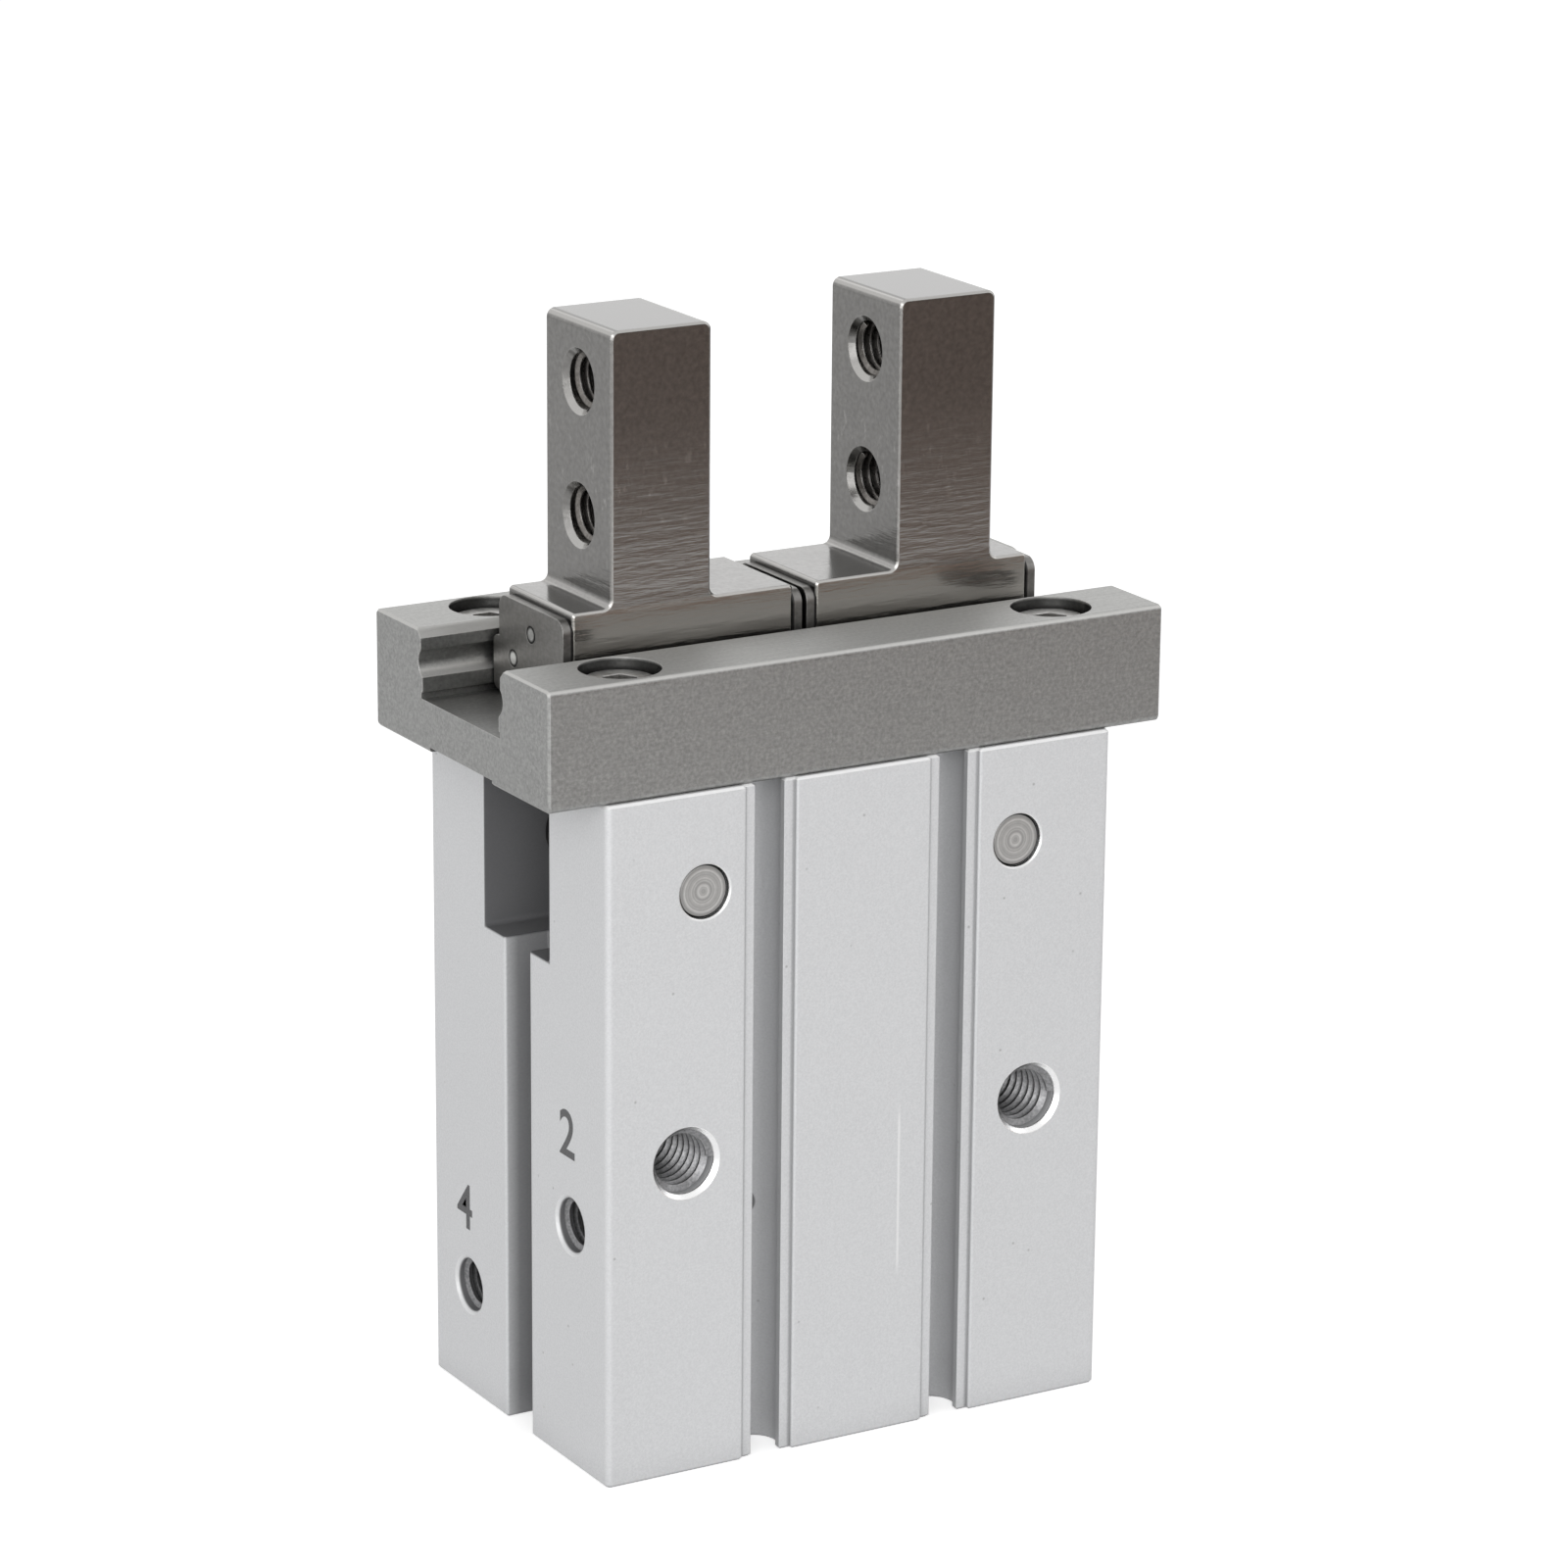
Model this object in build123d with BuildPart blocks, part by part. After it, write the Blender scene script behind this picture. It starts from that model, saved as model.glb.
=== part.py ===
"""Pneumatic parallel gripper: 25 mm bore, 7 mm travel for each jaw, ball-guided fingers.

Frame: X along the jaw travel, -Y the front face, +Z towards the finger tips, and the
origin at the centre of the underside. The pieces stand as they do with the jaws closed,
which is the piston's lower end of stroke.
"""

import os
from math import asin, cos, degrees, hypot, radians, sin, sqrt, tan

from build123d import *

# Body, cut from an aluminium extrusion
body_length = 52.0
body_depth = 33.6
body_height = 63.6
body_corner_radius = 0.6
body_chamfer = 0.24
extrusion_edge_radius = 0.25

# Sensor grooves, two down each wide face
groove_spacing = 19.0
groove_round_diameter = 4.2
groove_mouth = 3.0
groove_depth = 4.65
groove_recess_width = 5.1
groove_recess_depth = 0.4

# Slot down each end face
end_slot_width = 4.8
end_slot_depth = 4.4

# Cavity under the guide that the levers swing in, open at both end faces
cavity_width = 12.4
cavity_depth = 17.1
cavity_corner_radius = 0.5

# Cylinder
bore_diameter = 25.0
spigot_diameter = 26.0
spigot_depth = 1.5

# Mounting holes
side_hole_spacing = 36.0
side_hole_height = 29.6
side_hole_depth = 12.0
side_hole_drill = 5.1
mount_thread = 6.0
bottom_hole_depth = 12.0
mount_mouth = 0.4

# Air ports on one end face
port_thread = 5.0
port_depth = 6.0
port_passage = 2.0
port_pilot_depth = 10.0
port_offset = 9.9
close_port_height = 22.9
open_port_height = 10.5
port_mouth = 0.3

# Jaw travel and the levers that drive it
finger_travel = 7.0
lever_pivot_from_end = 9.8
lever_pivot_drop = 9.1
lever_arm = 16.2
lever_tip_radius = 2.5
lever_thickness = 6.0
lever_hub_radius = 4.2
lever_hub_width = 9.6
lever_tongue = 2.8
lever_shaft_diameter = 5.0
shaft_end_recess = 0.35
drive_pin_diameter = 4.0
fork_wall = 1.4

# Piston, rod and end cap
piston_length = 12.0
rod_diameter = 10.0
rod_spigot_diameter = 7.0
rod_spigot_length = 3.0
piston_screw_diameter = 5.0
cap_recess = 1.5
cap_thickness = 5.5
head_buffer_height = 4.73
ring_thickness = 1.0
ring_width = 2.0
ring_groove_depth = 1.1
buffer_inset = 3.0
head_buffer_wall = 4.0
rod_bumper_thickness = 2.4
rod_seal_diameter = 16.0
rod_seal_height = 2.8
buffer_key_height = 1.2
bush_diameter = 14.0
bush_land = 0.6

# Linear guide, one rail for both fingers
guide_length = 63.0
guide_inset = 0.3
guide_height = 10.9
guide_edge_radius = 0.5
guide_end_chamfer = 0.2
rail_wall = 8.9
channel_depth = 6.3
channel_bevel = 0.8
lower_wall_step = 0.3
undercut = 0.25
undercut_height = 0.6
underside_relief_width = 12.0
underside_relief_depth = 0.45
ball_diameter = 3.0
ball_inset = 1.05
ball_height = 3.3
ball_pitch = 3.02

# Guide fasteners
guide_screw_from_end = 3.8
guide_screw_from_front = 4.6
guide_screw_thread = 4.0
guide_screw_head = 7.0
guide_screw_head_height = 4.0
guide_screw_length = 12.0
guide_counterbore = 7.4
guide_counterbore_depth = 5.0
dowel_diameter = 3.0
dowel_length = 10.0

# Fingers
grip_gap = 19.3
post_thickness = 10.0
finger_side_gap = 1.6
finger_height = 28.2
base_inner = 1.2
base_length = 22.3
base_rise = 3.5
foot_side_gap = 1.0
base_root_fillet = 0.8
base_end_fillet = 0.4
tip_fillet = 0.8
finger_chamfer = 0.2
finger_hole_thread = 5.0
finger_hole_pitch = 12.0
finger_hole_from_tip = 5.5
plate_thickness = 0.95
plate_drop = 0.6
plate_corner_radius = 1.2
plate_ear_height = 5.0
plate_ear_radius = 0.8
plate_ear_gap = 0.2
plate_rivet_diameter = 1.6
plate_rivet_length = 2.5
plate_rivet_height = 0.4
plate_rivet_spread = 6.7
plate_rivet_drop = 2.9

# Clearances
running = 0.04
side_gap = 0.1
ball_gap = 0.03
seat = 0.02
floor_gap = 0.3
foot_drop = 1.0
rod_hole_gap = 0.2
hole_end_gap = 0.2

# Places and widths that follow from the sizes above
lever_pivot_x = body_length / 2 - lever_pivot_from_end
guide_screw_x = body_length / 2 - guide_screw_from_end
guide_screw_y = body_depth / 2 - guide_screw_from_front
guide_depth = body_depth - 2 * guide_inset
channel_width = guide_depth - 2 * rail_wall
lower_channel_width = channel_width - 2 * lower_wall_step
undercut_width = lower_channel_width + 2 * undercut
ball_row_width = channel_width - 2 * ball_inset
base_width = channel_width - 2 * foot_side_gap
finger_width = channel_width - 2 * finger_side_gap

# Heights that follow from them
lever_pivot_z = body_height - lever_pivot_drop
cavity_floor = body_height - cavity_depth
cap_bottom = spigot_depth + cap_recess
cap_top = cap_bottom + cap_thickness
guide_bottom = body_height
guide_top = guide_bottom + guide_height
channel_floor = guide_top - channel_depth
ball_z = channel_floor + ball_height
base_bottom = channel_floor + floor_gap
base_top = guide_top + base_rise
tip_z = guide_top + finger_height

# Lever swing and the piston stroke that makes it
swing = asin(finger_travel / 2 / lever_arm)
piston_stroke = 2 * lever_pivot_x * tan(swing)
drive_pin_z = lever_pivot_z - piston_stroke / 2
lever_tip_x = lever_pivot_x - finger_travel / 2
pocket_top = lever_pivot_z + lever_arm + lever_tip_radius + 0.8
fork_radius = drive_pin_diameter / 2 + side_gap + fork_wall
clevis_slot = lever_thickness + 4 * side_gap
clevis_floor = fork_radius + rod_diameter / 2 * tan(swing) + 0.7
rod_top = drive_pin_z + drive_pin_diameter / 2 + 2.5
piston_bottom = cap_top + head_buffer_height + side_gap
piston_top = piston_bottom + piston_length
bore_top = piston_top + piston_stroke + side_gap + rod_bumper_thickness
seal_pocket_top = bore_top + buffer_key_height + rod_seal_height
bush_length = cavity_floor - seal_pocket_top - bush_land
sides = {"left": -1, "right": 1}

os.makedirs("parts", exist_ok=True)


def finish(part, label):
    """Name a finished piece and write it to its own file."""
    part.label = label
    export_step(part, f"parts/{label}.step")


def ring_of(inner_radius, outer_radius, bottom, height):
    """Sketch half the section of a plain ring in the XZ plane, for revolving about Z."""
    with Locations(((inner_radius + outer_radius) / 2, bottom + height / 2)):
        Rectangle(outer_radius - inner_radius, height)


# Body
groove_round_y = body_depth / 2 - groove_depth + groove_round_diameter / 2
with BuildPart() as body:
    with BuildSketch() as body_outline:
        RectangleRounded(body_length, body_depth, body_corner_radius)
        with Locations((groove_spacing / 2, 0), (-groove_spacing / 2, 0)):
            with Locations((0, groove_round_y), (0, -groove_round_y)):
                Circle(groove_round_diameter / 2, mode=Mode.SUBTRACT)
            with Locations((0, body_depth / 2), (0, -body_depth / 2)):
                Rectangle(groove_recess_width, 2 * groove_recess_depth, mode=Mode.SUBTRACT)
                Rectangle(groove_mouth, 2 * (groove_depth - groove_round_diameter / 2), mode=Mode.SUBTRACT)
        with Locations((body_length / 2, 0), (-body_length / 2, 0)):
            Rectangle(2 * end_slot_depth, end_slot_width, mode=Mode.SUBTRACT)
        groove_corners = body_outline.vertices().filter_by(
            lambda v: abs(abs(v.Y) - body_depth / 2) < 1e-3 and abs(v.X) < groove_spacing
        )
        slot_corners = body_outline.vertices().filter_by(
            lambda v: abs(abs(v.X) - body_length / 2) < 1e-3 and abs(v.Y) < end_slot_width
        )
        fillet(groove_corners + slot_corners, extrusion_edge_radius)
    extrude(amount=body_height)
    chamfer(body.edges().group_by(Axis.Z)[0] + body.edges().group_by(Axis.Z)[-1], body_chamfer)

    # Lever cavity, right through along X
    with BuildSketch(Plane.YZ.offset(-body_length / 2)):
        with Locations((0, body_height - cavity_depth / 2 + cavity_corner_radius)):
            RectangleRounded(cavity_width, cavity_depth + 2 * cavity_corner_radius, cavity_corner_radius)
    extrude(amount=body_length, mode=Mode.SUBTRACT)

    # Stepped bore: spigot recess, ring groove, cylinder, seal pocket, rod hole and bush pocket
    ring_groove_radius = bore_diameter / 2 + ring_groove_depth
    with BuildSketch(Plane.XZ):
        with BuildLine():
            Polyline(
                (0, 0),
                (spigot_diameter / 2, 0),
                (spigot_diameter / 2, spigot_depth),
                (bore_diameter / 2, spigot_depth),
                (bore_diameter / 2, cap_bottom - ring_thickness - side_gap),
                (ring_groove_radius, cap_bottom - ring_thickness - side_gap),
                (ring_groove_radius, cap_bottom),
                (bore_diameter / 2, cap_bottom),
                (bore_diameter / 2, bore_top),
                (rod_seal_diameter / 2, bore_top),
                (rod_seal_diameter / 2, seal_pocket_top),
                (rod_diameter / 2 + rod_hole_gap, seal_pocket_top),
                (rod_diameter / 2 + rod_hole_gap, cavity_floor - bush_length),
                (bush_diameter / 2, cavity_floor - bush_length),
                (bush_diameter / 2, cavity_floor),
                (0, cavity_floor),
                close=True,
            )
        make_face()
    revolve(axis=Axis.Z, mode=Mode.SUBTRACT)

    # Lever shaft holes, and side holes drilled right through and threaded from both faces
    for face_y, facing in ((-body_depth / 2, -1), (body_depth / 2, 1)):
        face_plane = Plane(origin=(0, face_y, 0), x_dir=(1, 0, 0), z_dir=(0, facing, 0))
        with Locations(face_plane):
            up = -facing
            with Locations((lever_pivot_x, up * lever_pivot_z), (-lever_pivot_x, up * lever_pivot_z)):
                CounterSinkHole(lever_shaft_diameter / 2, lever_shaft_diameter / 2 + 0.15, body_depth / 2, 90)
            with Locations(
                (side_hole_spacing / 2, up * side_hole_height), (-side_hole_spacing / 2, up * side_hole_height)
            ):
                CounterSinkHole(mount_thread / 2, mount_thread / 2 + mount_mouth, side_hole_depth, 90)
                Hole(side_hole_drill / 2, body_depth / 2)

    # Threaded holes in the underside and for the guide screws
    with Locations(Plane.XY.rotated((180, 0, 0))):
        with GridLocations(side_hole_spacing, 0, 2, 1):
            CounterSinkHole(mount_thread / 2, mount_thread / 2 + mount_mouth, bottom_hole_depth, 90)
    guide_screw_tip = guide_top - guide_counterbore_depth - guide_screw_length
    with Locations(Plane.XY.offset(body_height)):
        with GridLocations(2 * guide_screw_x, 2 * guide_screw_y, 2, 2):
            Hole(guide_screw_thread / 2, body_height - guide_screw_tip + 2)
        with GridLocations(0, 2 * guide_screw_y, 1, 2):
            Hole(dowel_diameter / 2 + seat, dowel_length / 2 + hole_end_gap)

    # Ports: the lower one runs straight into the cylinder, the upper one slants to its top
    end_plane = Plane(origin=(-body_length / 2, 0, 0), x_dir=(0, -1, 0), z_dir=(-1, 0, 0))
    with Locations(end_plane):
        with Locations((port_offset, close_port_height), (-port_offset, open_port_height)):
            CounterSinkHole(port_thread / 2, port_thread / 2 + port_mouth, port_depth, 90)
    bore_wall_x = sqrt((bore_diameter / 2) ** 2 - port_offset**2)
    with BuildSketch(end_plane):
        with Locations((-port_offset, open_port_height)):
            Circle(port_passage / 2)
    extrude(amount=-(body_length / 2 - bore_wall_x + 1), mode=Mode.SUBTRACT)
    with BuildSketch(end_plane):
        with Locations((port_offset, close_port_height)):
            Circle(port_passage / 2)
    extrude(amount=-port_pilot_depth, mode=Mode.SUBTRACT)
    slant_start = Vector(-body_length / 2 + port_pilot_depth - port_passage / 2, -port_offset, close_port_height)
    slant_end = Vector(-bore_wall_x + port_passage / 2, -port_offset, bore_top - port_passage)
    slant = slant_end - slant_start
    with BuildSketch(Plane(origin=slant_start, z_dir=slant)):
        Circle(port_passage / 2)
    extrude(amount=slant.length, mode=Mode.SUBTRACT)
finish(body.part, "body")

# Guide: one profile along X, then counterbores, dowel holes and the two lever slots
lever_slot_length = finger_travel + 2 * lever_tip_radius
lever_slot_width = lever_thickness + 1.0
lever_slot_corner = 1.0
with BuildPart() as guide:
    with BuildSketch(Plane.YZ.offset(-guide_length / 2)):
        with Locations((0, (guide_bottom + guide_top) / 2)):
            RectangleRounded(guide_depth, guide_height, guide_edge_radius)
        with Locations((0, (ball_z + guide_top) / 2)):
            Rectangle(channel_width, guide_top - ball_z, mode=Mode.SUBTRACT)
        with Locations((0, (channel_floor + ball_z) / 2)):
            Rectangle(lower_channel_width, ball_z - channel_floor, mode=Mode.SUBTRACT)
        with BuildLine():
            Polyline(
                (channel_width / 2 + channel_bevel, guide_top),
                (channel_width / 2, guide_top - channel_bevel),
                (-channel_width / 2, guide_top - channel_bevel),
                (-channel_width / 2 - channel_bevel, guide_top),
                close=True,
            )
        make_face(mode=Mode.SUBTRACT)
        with Locations((ball_row_width / 2, ball_z), (-ball_row_width / 2, ball_z)):
            Circle(ball_diameter / 2 + ball_gap, mode=Mode.SUBTRACT)
        with Locations((0, channel_floor + undercut_height / 2)):
            Rectangle(undercut_width, undercut_height, mode=Mode.SUBTRACT)
        with Locations((0, guide_bottom)):
            Rectangle(underside_relief_width, 2 * underside_relief_depth, mode=Mode.SUBTRACT)
    extrude(amount=guide_length)
    end_rims = guide.faces().filter_by(Axis.X).edges().filter_by(
        lambda e: abs(e.center().Y) > guide_depth / 2 - guide_edge_radius or e.center().Z < guide_bottom + 1e-3
    )
    chamfer(end_rims, guide_end_chamfer)
    with Locations(Plane.XY.offset(guide_top)):
        with GridLocations(2 * guide_screw_x, 2 * guide_screw_y, 2, 2):
            CounterBoreHole(guide_screw_thread / 2 + 0.25, guide_counterbore / 2, guide_counterbore_depth)
    with Locations(Plane.XY.offset(guide_bottom).rotated((180, 0, 0))):
        with GridLocations(0, 2 * guide_screw_y, 1, 2):
            Hole(dowel_diameter / 2 + seat, dowel_length / 2 + hole_end_gap)
    with BuildSketch(Plane.XY.offset(guide_bottom)):
        with Locations((lever_pivot_x, 0), (-lever_pivot_x, 0)):
            RectangleRounded(lever_slot_length, lever_slot_width, lever_slot_corner)
    extrude(amount=channel_floor - guide_bottom + 1, mode=Mode.SUBTRACT)
finish(guide.part, "guide")

# Four socket head cap screws that hold the guide down
screw_seat_z = guide_top - guide_counterbore_depth
with BuildPart() as guide_screws:
    with BuildSketch(Plane.XY.offset(screw_seat_z)):
        with GridLocations(2 * guide_screw_x, 2 * guide_screw_y, 2, 2):
            Circle(guide_screw_head / 2)
    extrude(amount=guide_screw_head_height)
    chamfer(guide_screws.edges().group_by(Axis.Z)[-1], 0.35)
    with BuildSketch(Plane.XY.offset(screw_seat_z)):
        with GridLocations(2 * guide_screw_x, 2 * guide_screw_y, 2, 2):
            Circle(guide_screw_thread / 2 - seat)
    extrude(amount=-guide_screw_length)
    with BuildSketch(Plane.XY.offset(screw_seat_z + guide_screw_head_height)):
        with GridLocations(2 * guide_screw_x, 2 * guide_screw_y, 2, 2):
            RegularPolygon(0.75 * guide_screw_thread / 2, 6, major_radius=False)
    extrude(amount=-guide_screw_head_height / 2, mode=Mode.SUBTRACT)
finish(guide_screws.part, "guide_screws")

# Dowel pins that line the guide up with the body
with BuildPart() as dowel_pins:
    with BuildSketch(Plane.XY.offset(guide_bottom - dowel_length / 2)):
        with GridLocations(0, 2 * guide_screw_y, 1, 2):
            Circle(dowel_diameter / 2)
    extrude(amount=dowel_length)
    chamfer(dowel_pins.edges().filter_by(GeomType.CIRCLE), 0.3)
finish(dowel_pins.part, "dowel_pins")

# Pivot shafts, pressed through the body from front to back
shaft_length = body_depth - 2 * shaft_end_recess
for name, side in sides.items():
    with BuildPart() as lever_shaft:
        with BuildSketch(Plane.XZ.offset(-shaft_length / 2)):
            with Locations((side * lever_pivot_x, lever_pivot_z)):
                Circle(lever_shaft_diameter / 2)
        extrude(amount=shaft_length)
        chamfer(lever_shaft.edges().filter_by(GeomType.CIRCLE), 0.25)
    finish(lever_shaft.part, f"lever_shaft_{name}")

# Washers on the shafts, each side of each lever
with BuildPart() as lever_washers:
    for washer_start, outward in ((lever_hub_width / 2 + side_gap, 1), (-lever_hub_width / 2 - side_gap, -1)):
        with BuildSketch(Plane.XZ.offset(-washer_start)):
            with Locations((lever_pivot_x, lever_pivot_z), (-lever_pivot_x, lever_pivot_z)):
                Circle(lever_hub_radius - 0.6)
                Circle(lever_shaft_diameter / 2 + seat, mode=Mode.SUBTRACT)
        extrude(amount=-outward * (cavity_width / 2 - lever_hub_width / 2 - 2 * side_gap))
finish(lever_washers.part, "lever_washers")

# Levers. Each is drawn in its own plane, tilted to where the closed jaws put it: local X
# runs along the forked arm to the drive pin and local Y along the arm that moves the finger.
arm_root_half = 4.2
neck_root_half = 3.4
neck_tip_half = 1.6
fork_reach = hypot(lever_pivot_x, piston_stroke / 2)
fork_end = fork_reach + fork_radius
fork_slot_root = lever_pivot_x - 0.3
fork_slot_width = drive_pin_diameter + 2 * side_gap
thin_from = lever_pivot_x - rod_diameter / 2 - 2.0


def fork_zone():
    """Sketch the end of the forked arm, from where it thins to past its tip."""
    with Locations(((thin_from + fork_end) / 2 + 1, 0)):
        Rectangle(fork_end - thin_from + 2, 4 * fork_radius)


for name, side in sides.items():
    lever_plane = Plane(
        origin=(side * lever_pivot_x, 0, lever_pivot_z),
        x_dir=(-side * cos(swing), 0, -sin(swing)),
        z_dir=(0, side, 0),
    )
    with BuildPart() as lever:
        with BuildSketch(lever_plane):
            Circle(lever_hub_radius)
        extrude(amount=lever_hub_width / 2, both=True)
        chamfer(lever.edges().filter_by(GeomType.CIRCLE), 0.3)

        # Upright arm, with a round tip that works in the pocket of the finger
        with BuildSketch(lever_plane):
            with BuildLine():
                Polyline(
                    (-neck_root_half, 0),
                    (-neck_tip_half, lever_arm),
                    (neck_tip_half, lever_arm),
                    (neck_root_half, 0),
                    close=True,
                )
            make_face()
            with Locations((0, lever_arm)):
                Circle(lever_tip_radius)
        extrude(amount=lever_thickness / 2, both=True)

        # Arm to the drive pin, ending in an open fork
        with BuildSketch(lever_plane):
            with BuildLine():
                Polyline(
                    (0, -arm_root_half),
                    (fork_reach, -fork_radius),
                    (fork_reach, fork_radius),
                    (0, arm_root_half),
                    close=True,
                )
            make_face()
            with Locations((fork_reach, 0)):
                Circle(fork_radius)
            with Locations((fork_slot_root, 0)):
                Circle(fork_slot_width / 2, mode=Mode.SUBTRACT)
            with Locations((fork_slot_root + fork_radius, 0)):
                Rectangle(2 * fork_radius, fork_slot_width, mode=Mode.SUBTRACT)
        extrude(amount=lever_thickness / 2, both=True)

        # One lever ends in a single tongue, the other in the pair of tongues beside it
        if name == "left":
            with BuildSketch(lever_plane.offset(lever_tongue / 2)):
                fork_zone()
            extrude(amount=lever_thickness, mode=Mode.SUBTRACT)
            with BuildSketch(lever_plane.offset(-lever_tongue / 2)):
                fork_zone()
            extrude(amount=-lever_thickness, mode=Mode.SUBTRACT)
        else:
            with BuildSketch(lever_plane):
                fork_zone()
            extrude(amount=lever_tongue / 2 + side_gap, both=True, mode=Mode.SUBTRACT)
        with BuildSketch(lever_plane):
            Circle(lever_shaft_diameter / 2 + running)
        extrude(amount=lever_hub_width, both=True, mode=Mode.SUBTRACT)
    finish(lever.part, f"lever_{name}")

# Drive pin through the rod's clevis, which both forks ride on
clevis_half = sqrt((rod_diameter / 2) ** 2 - (drive_pin_diameter / 2) ** 2)
with BuildPart() as drive_pin:
    with BuildSketch(Plane.XZ.offset(-clevis_half)):
        with Locations((0, drive_pin_z)):
            Circle(drive_pin_diameter / 2)
    extrude(amount=2 * clevis_half)
    chamfer(drive_pin.edges().filter_by(GeomType.CIRCLE), 0.25)
finish(drive_pin.part, "drive_pin")

# Piston rod: a spigot that seats in the piston, the ground shank, and a slotted clevis
rod_thread_depth = 12.0
with BuildPart() as piston_rod:
    with BuildSketch(Plane.XY.offset(piston_top - rod_spigot_length)):
        Circle(rod_spigot_diameter / 2 - seat)
    extrude(amount=rod_spigot_length)
    with BuildSketch(Plane.XY.offset(piston_top)):
        Circle(rod_diameter / 2)
    extrude(amount=rod_top - piston_top)
    chamfer(piston_rod.edges().group_by(Axis.Z)[-1], 0.6)
    with BuildSketch(Plane.YZ.offset(-rod_diameter / 2)):
        with Locations((0, (drive_pin_z - clevis_floor + rod_top) / 2 + 1)):
            Rectangle(clevis_slot, rod_top - drive_pin_z + clevis_floor + 2)
    extrude(amount=rod_diameter, mode=Mode.SUBTRACT)
    with BuildSketch(Plane.XZ.offset(-rod_diameter / 2)):
        with Locations((0, drive_pin_z)):
            Circle(drive_pin_diameter / 2 + seat)
    extrude(amount=rod_diameter, mode=Mode.SUBTRACT)
    with Locations(Plane.XY.offset(piston_top - rod_spigot_length).rotated((180, 0, 0))):
        Hole(piston_screw_diameter / 2, rod_thread_depth)
finish(piston_rod.part, "piston_rod")

# Piston, with grooves for its seal and its magnet
seal_section = 2.5
piston_radius = bore_diameter / 2 - 2 * running
screw_head_radius = 0.85 * piston_screw_diameter
screw_head_height = piston_screw_diameter
seal_bottom = piston_bottom + 2.0
magnet_bottom = piston_top - 2.0 - seal_section
with BuildPart() as piston:
    with BuildSketch(Plane.XY.offset(piston_bottom)):
        Circle(piston_radius)
    extrude(amount=piston_length)
    chamfer(piston.edges().filter_by(GeomType.CIRCLE), 0.5)
    with BuildSketch(Plane.XZ):
        for groove_bottom in (seal_bottom, magnet_bottom):
            ring_of(piston_radius - seal_section, piston_radius + 1, groove_bottom, seal_section)
    revolve(axis=Axis.Z, mode=Mode.SUBTRACT)
    with BuildSketch(Plane.XY.offset(piston_top)):
        Circle(rod_spigot_diameter / 2)
    extrude(amount=-rod_spigot_length, mode=Mode.SUBTRACT)
    with Locations(Plane.XY.offset(piston_bottom).rotated((180, 0, 0))):
        CounterBoreHole(piston_screw_diameter / 2 + side_gap, screw_head_radius + side_gap, screw_head_height + 0.2)
finish(piston.part, "piston")

with BuildPart() as piston_seal:
    with BuildSketch(Plane.XZ):
        ring_of(piston_radius - seal_section + seat, bore_diameter / 2 - seat, seal_bottom + seat, seal_section - 2 * seat)
    revolve(axis=Axis.Z)
    chamfer(piston_seal.faces().sort_by(SortBy.AREA)[-1].edges(), 0.3)
finish(piston_seal.part, "piston_seal")

with BuildPart() as piston_magnet:
    with BuildSketch(Plane.XZ):
        ring_of(
            piston_radius - seal_section + seat, piston_radius - 0.3, magnet_bottom + seat, seal_section - 2 * seat
        )
    revolve(axis=Axis.Z)
finish(piston_magnet.part, "piston_magnet")

# Socket head screw up through the piston into the rod
screw_head_bottom = piston_bottom + 0.2
with BuildPart() as piston_screw:
    with BuildSketch(Plane.XY.offset(screw_head_bottom)):
        Circle(screw_head_radius)
    extrude(amount=screw_head_height)
    chamfer(piston_screw.edges().group_by(Axis.Z)[0], 0.4)
    with BuildSketch(Plane.XY.offset(screw_head_bottom + screw_head_height)):
        Circle(piston_screw_diameter / 2 - seat)
    extrude(amount=piston_top - rod_spigot_length + rod_thread_depth - 2 - screw_head_bottom - screw_head_height)
    with BuildSketch(Plane.XY.offset(screw_head_bottom)):
        RegularPolygon(0.4 * piston_screw_diameter, 6, major_radius=False)
    extrude(amount=screw_head_height / 2, mode=Mode.SUBTRACT)
finish(piston_screw.part, "piston_screw")

# Seal, bush and rubber buffers round the rod
rod_radius = rod_diameter / 2
with BuildPart() as rod_seal:
    with BuildSketch(Plane.XZ):
        ring_of(rod_radius + running, rod_seal_diameter / 2 - seat, bore_top + buffer_key_height, rod_seal_height)
    revolve(axis=Axis.Z)
    chamfer(rod_seal.faces().sort_by(SortBy.AREA)[-1].edges(), 0.2)
finish(rod_seal.part, "rod_seal")

with BuildPart() as rod_bush:
    with BuildSketch(Plane.XZ):
        ring_of(rod_radius + running, bush_diameter / 2 - seat, cavity_floor - bush_length, bush_length)
    revolve(axis=Axis.Z)
    chamfer(rod_bush.edges().group_by(Axis.Z)[-1], 0.3)
finish(rod_bush.part, "rod_bush")

buffer_outer = bore_diameter / 2 - buffer_inset
with BuildPart() as rod_buffer:
    with BuildSketch(Plane.XZ):
        ring_of(rod_radius + floor_gap, buffer_outer, bore_top - rod_bumper_thickness, rod_bumper_thickness)
        ring_of(rod_radius + floor_gap, rod_seal_diameter / 2 - side_gap, bore_top, buffer_key_height - side_gap)
    revolve(axis=Axis.Z)
finish(rod_buffer.part, "rod_buffer")

with BuildPart() as head_buffer:
    with BuildSketch(Plane.XZ):
        ring_of(buffer_outer - head_buffer_wall, buffer_outer, cap_top, head_buffer_height)
    revolve(axis=Axis.Z)
    chamfer(head_buffer.edges().group_by(Axis.Z)[-1], 0.5)
finish(head_buffer.part, "head_buffer")

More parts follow.
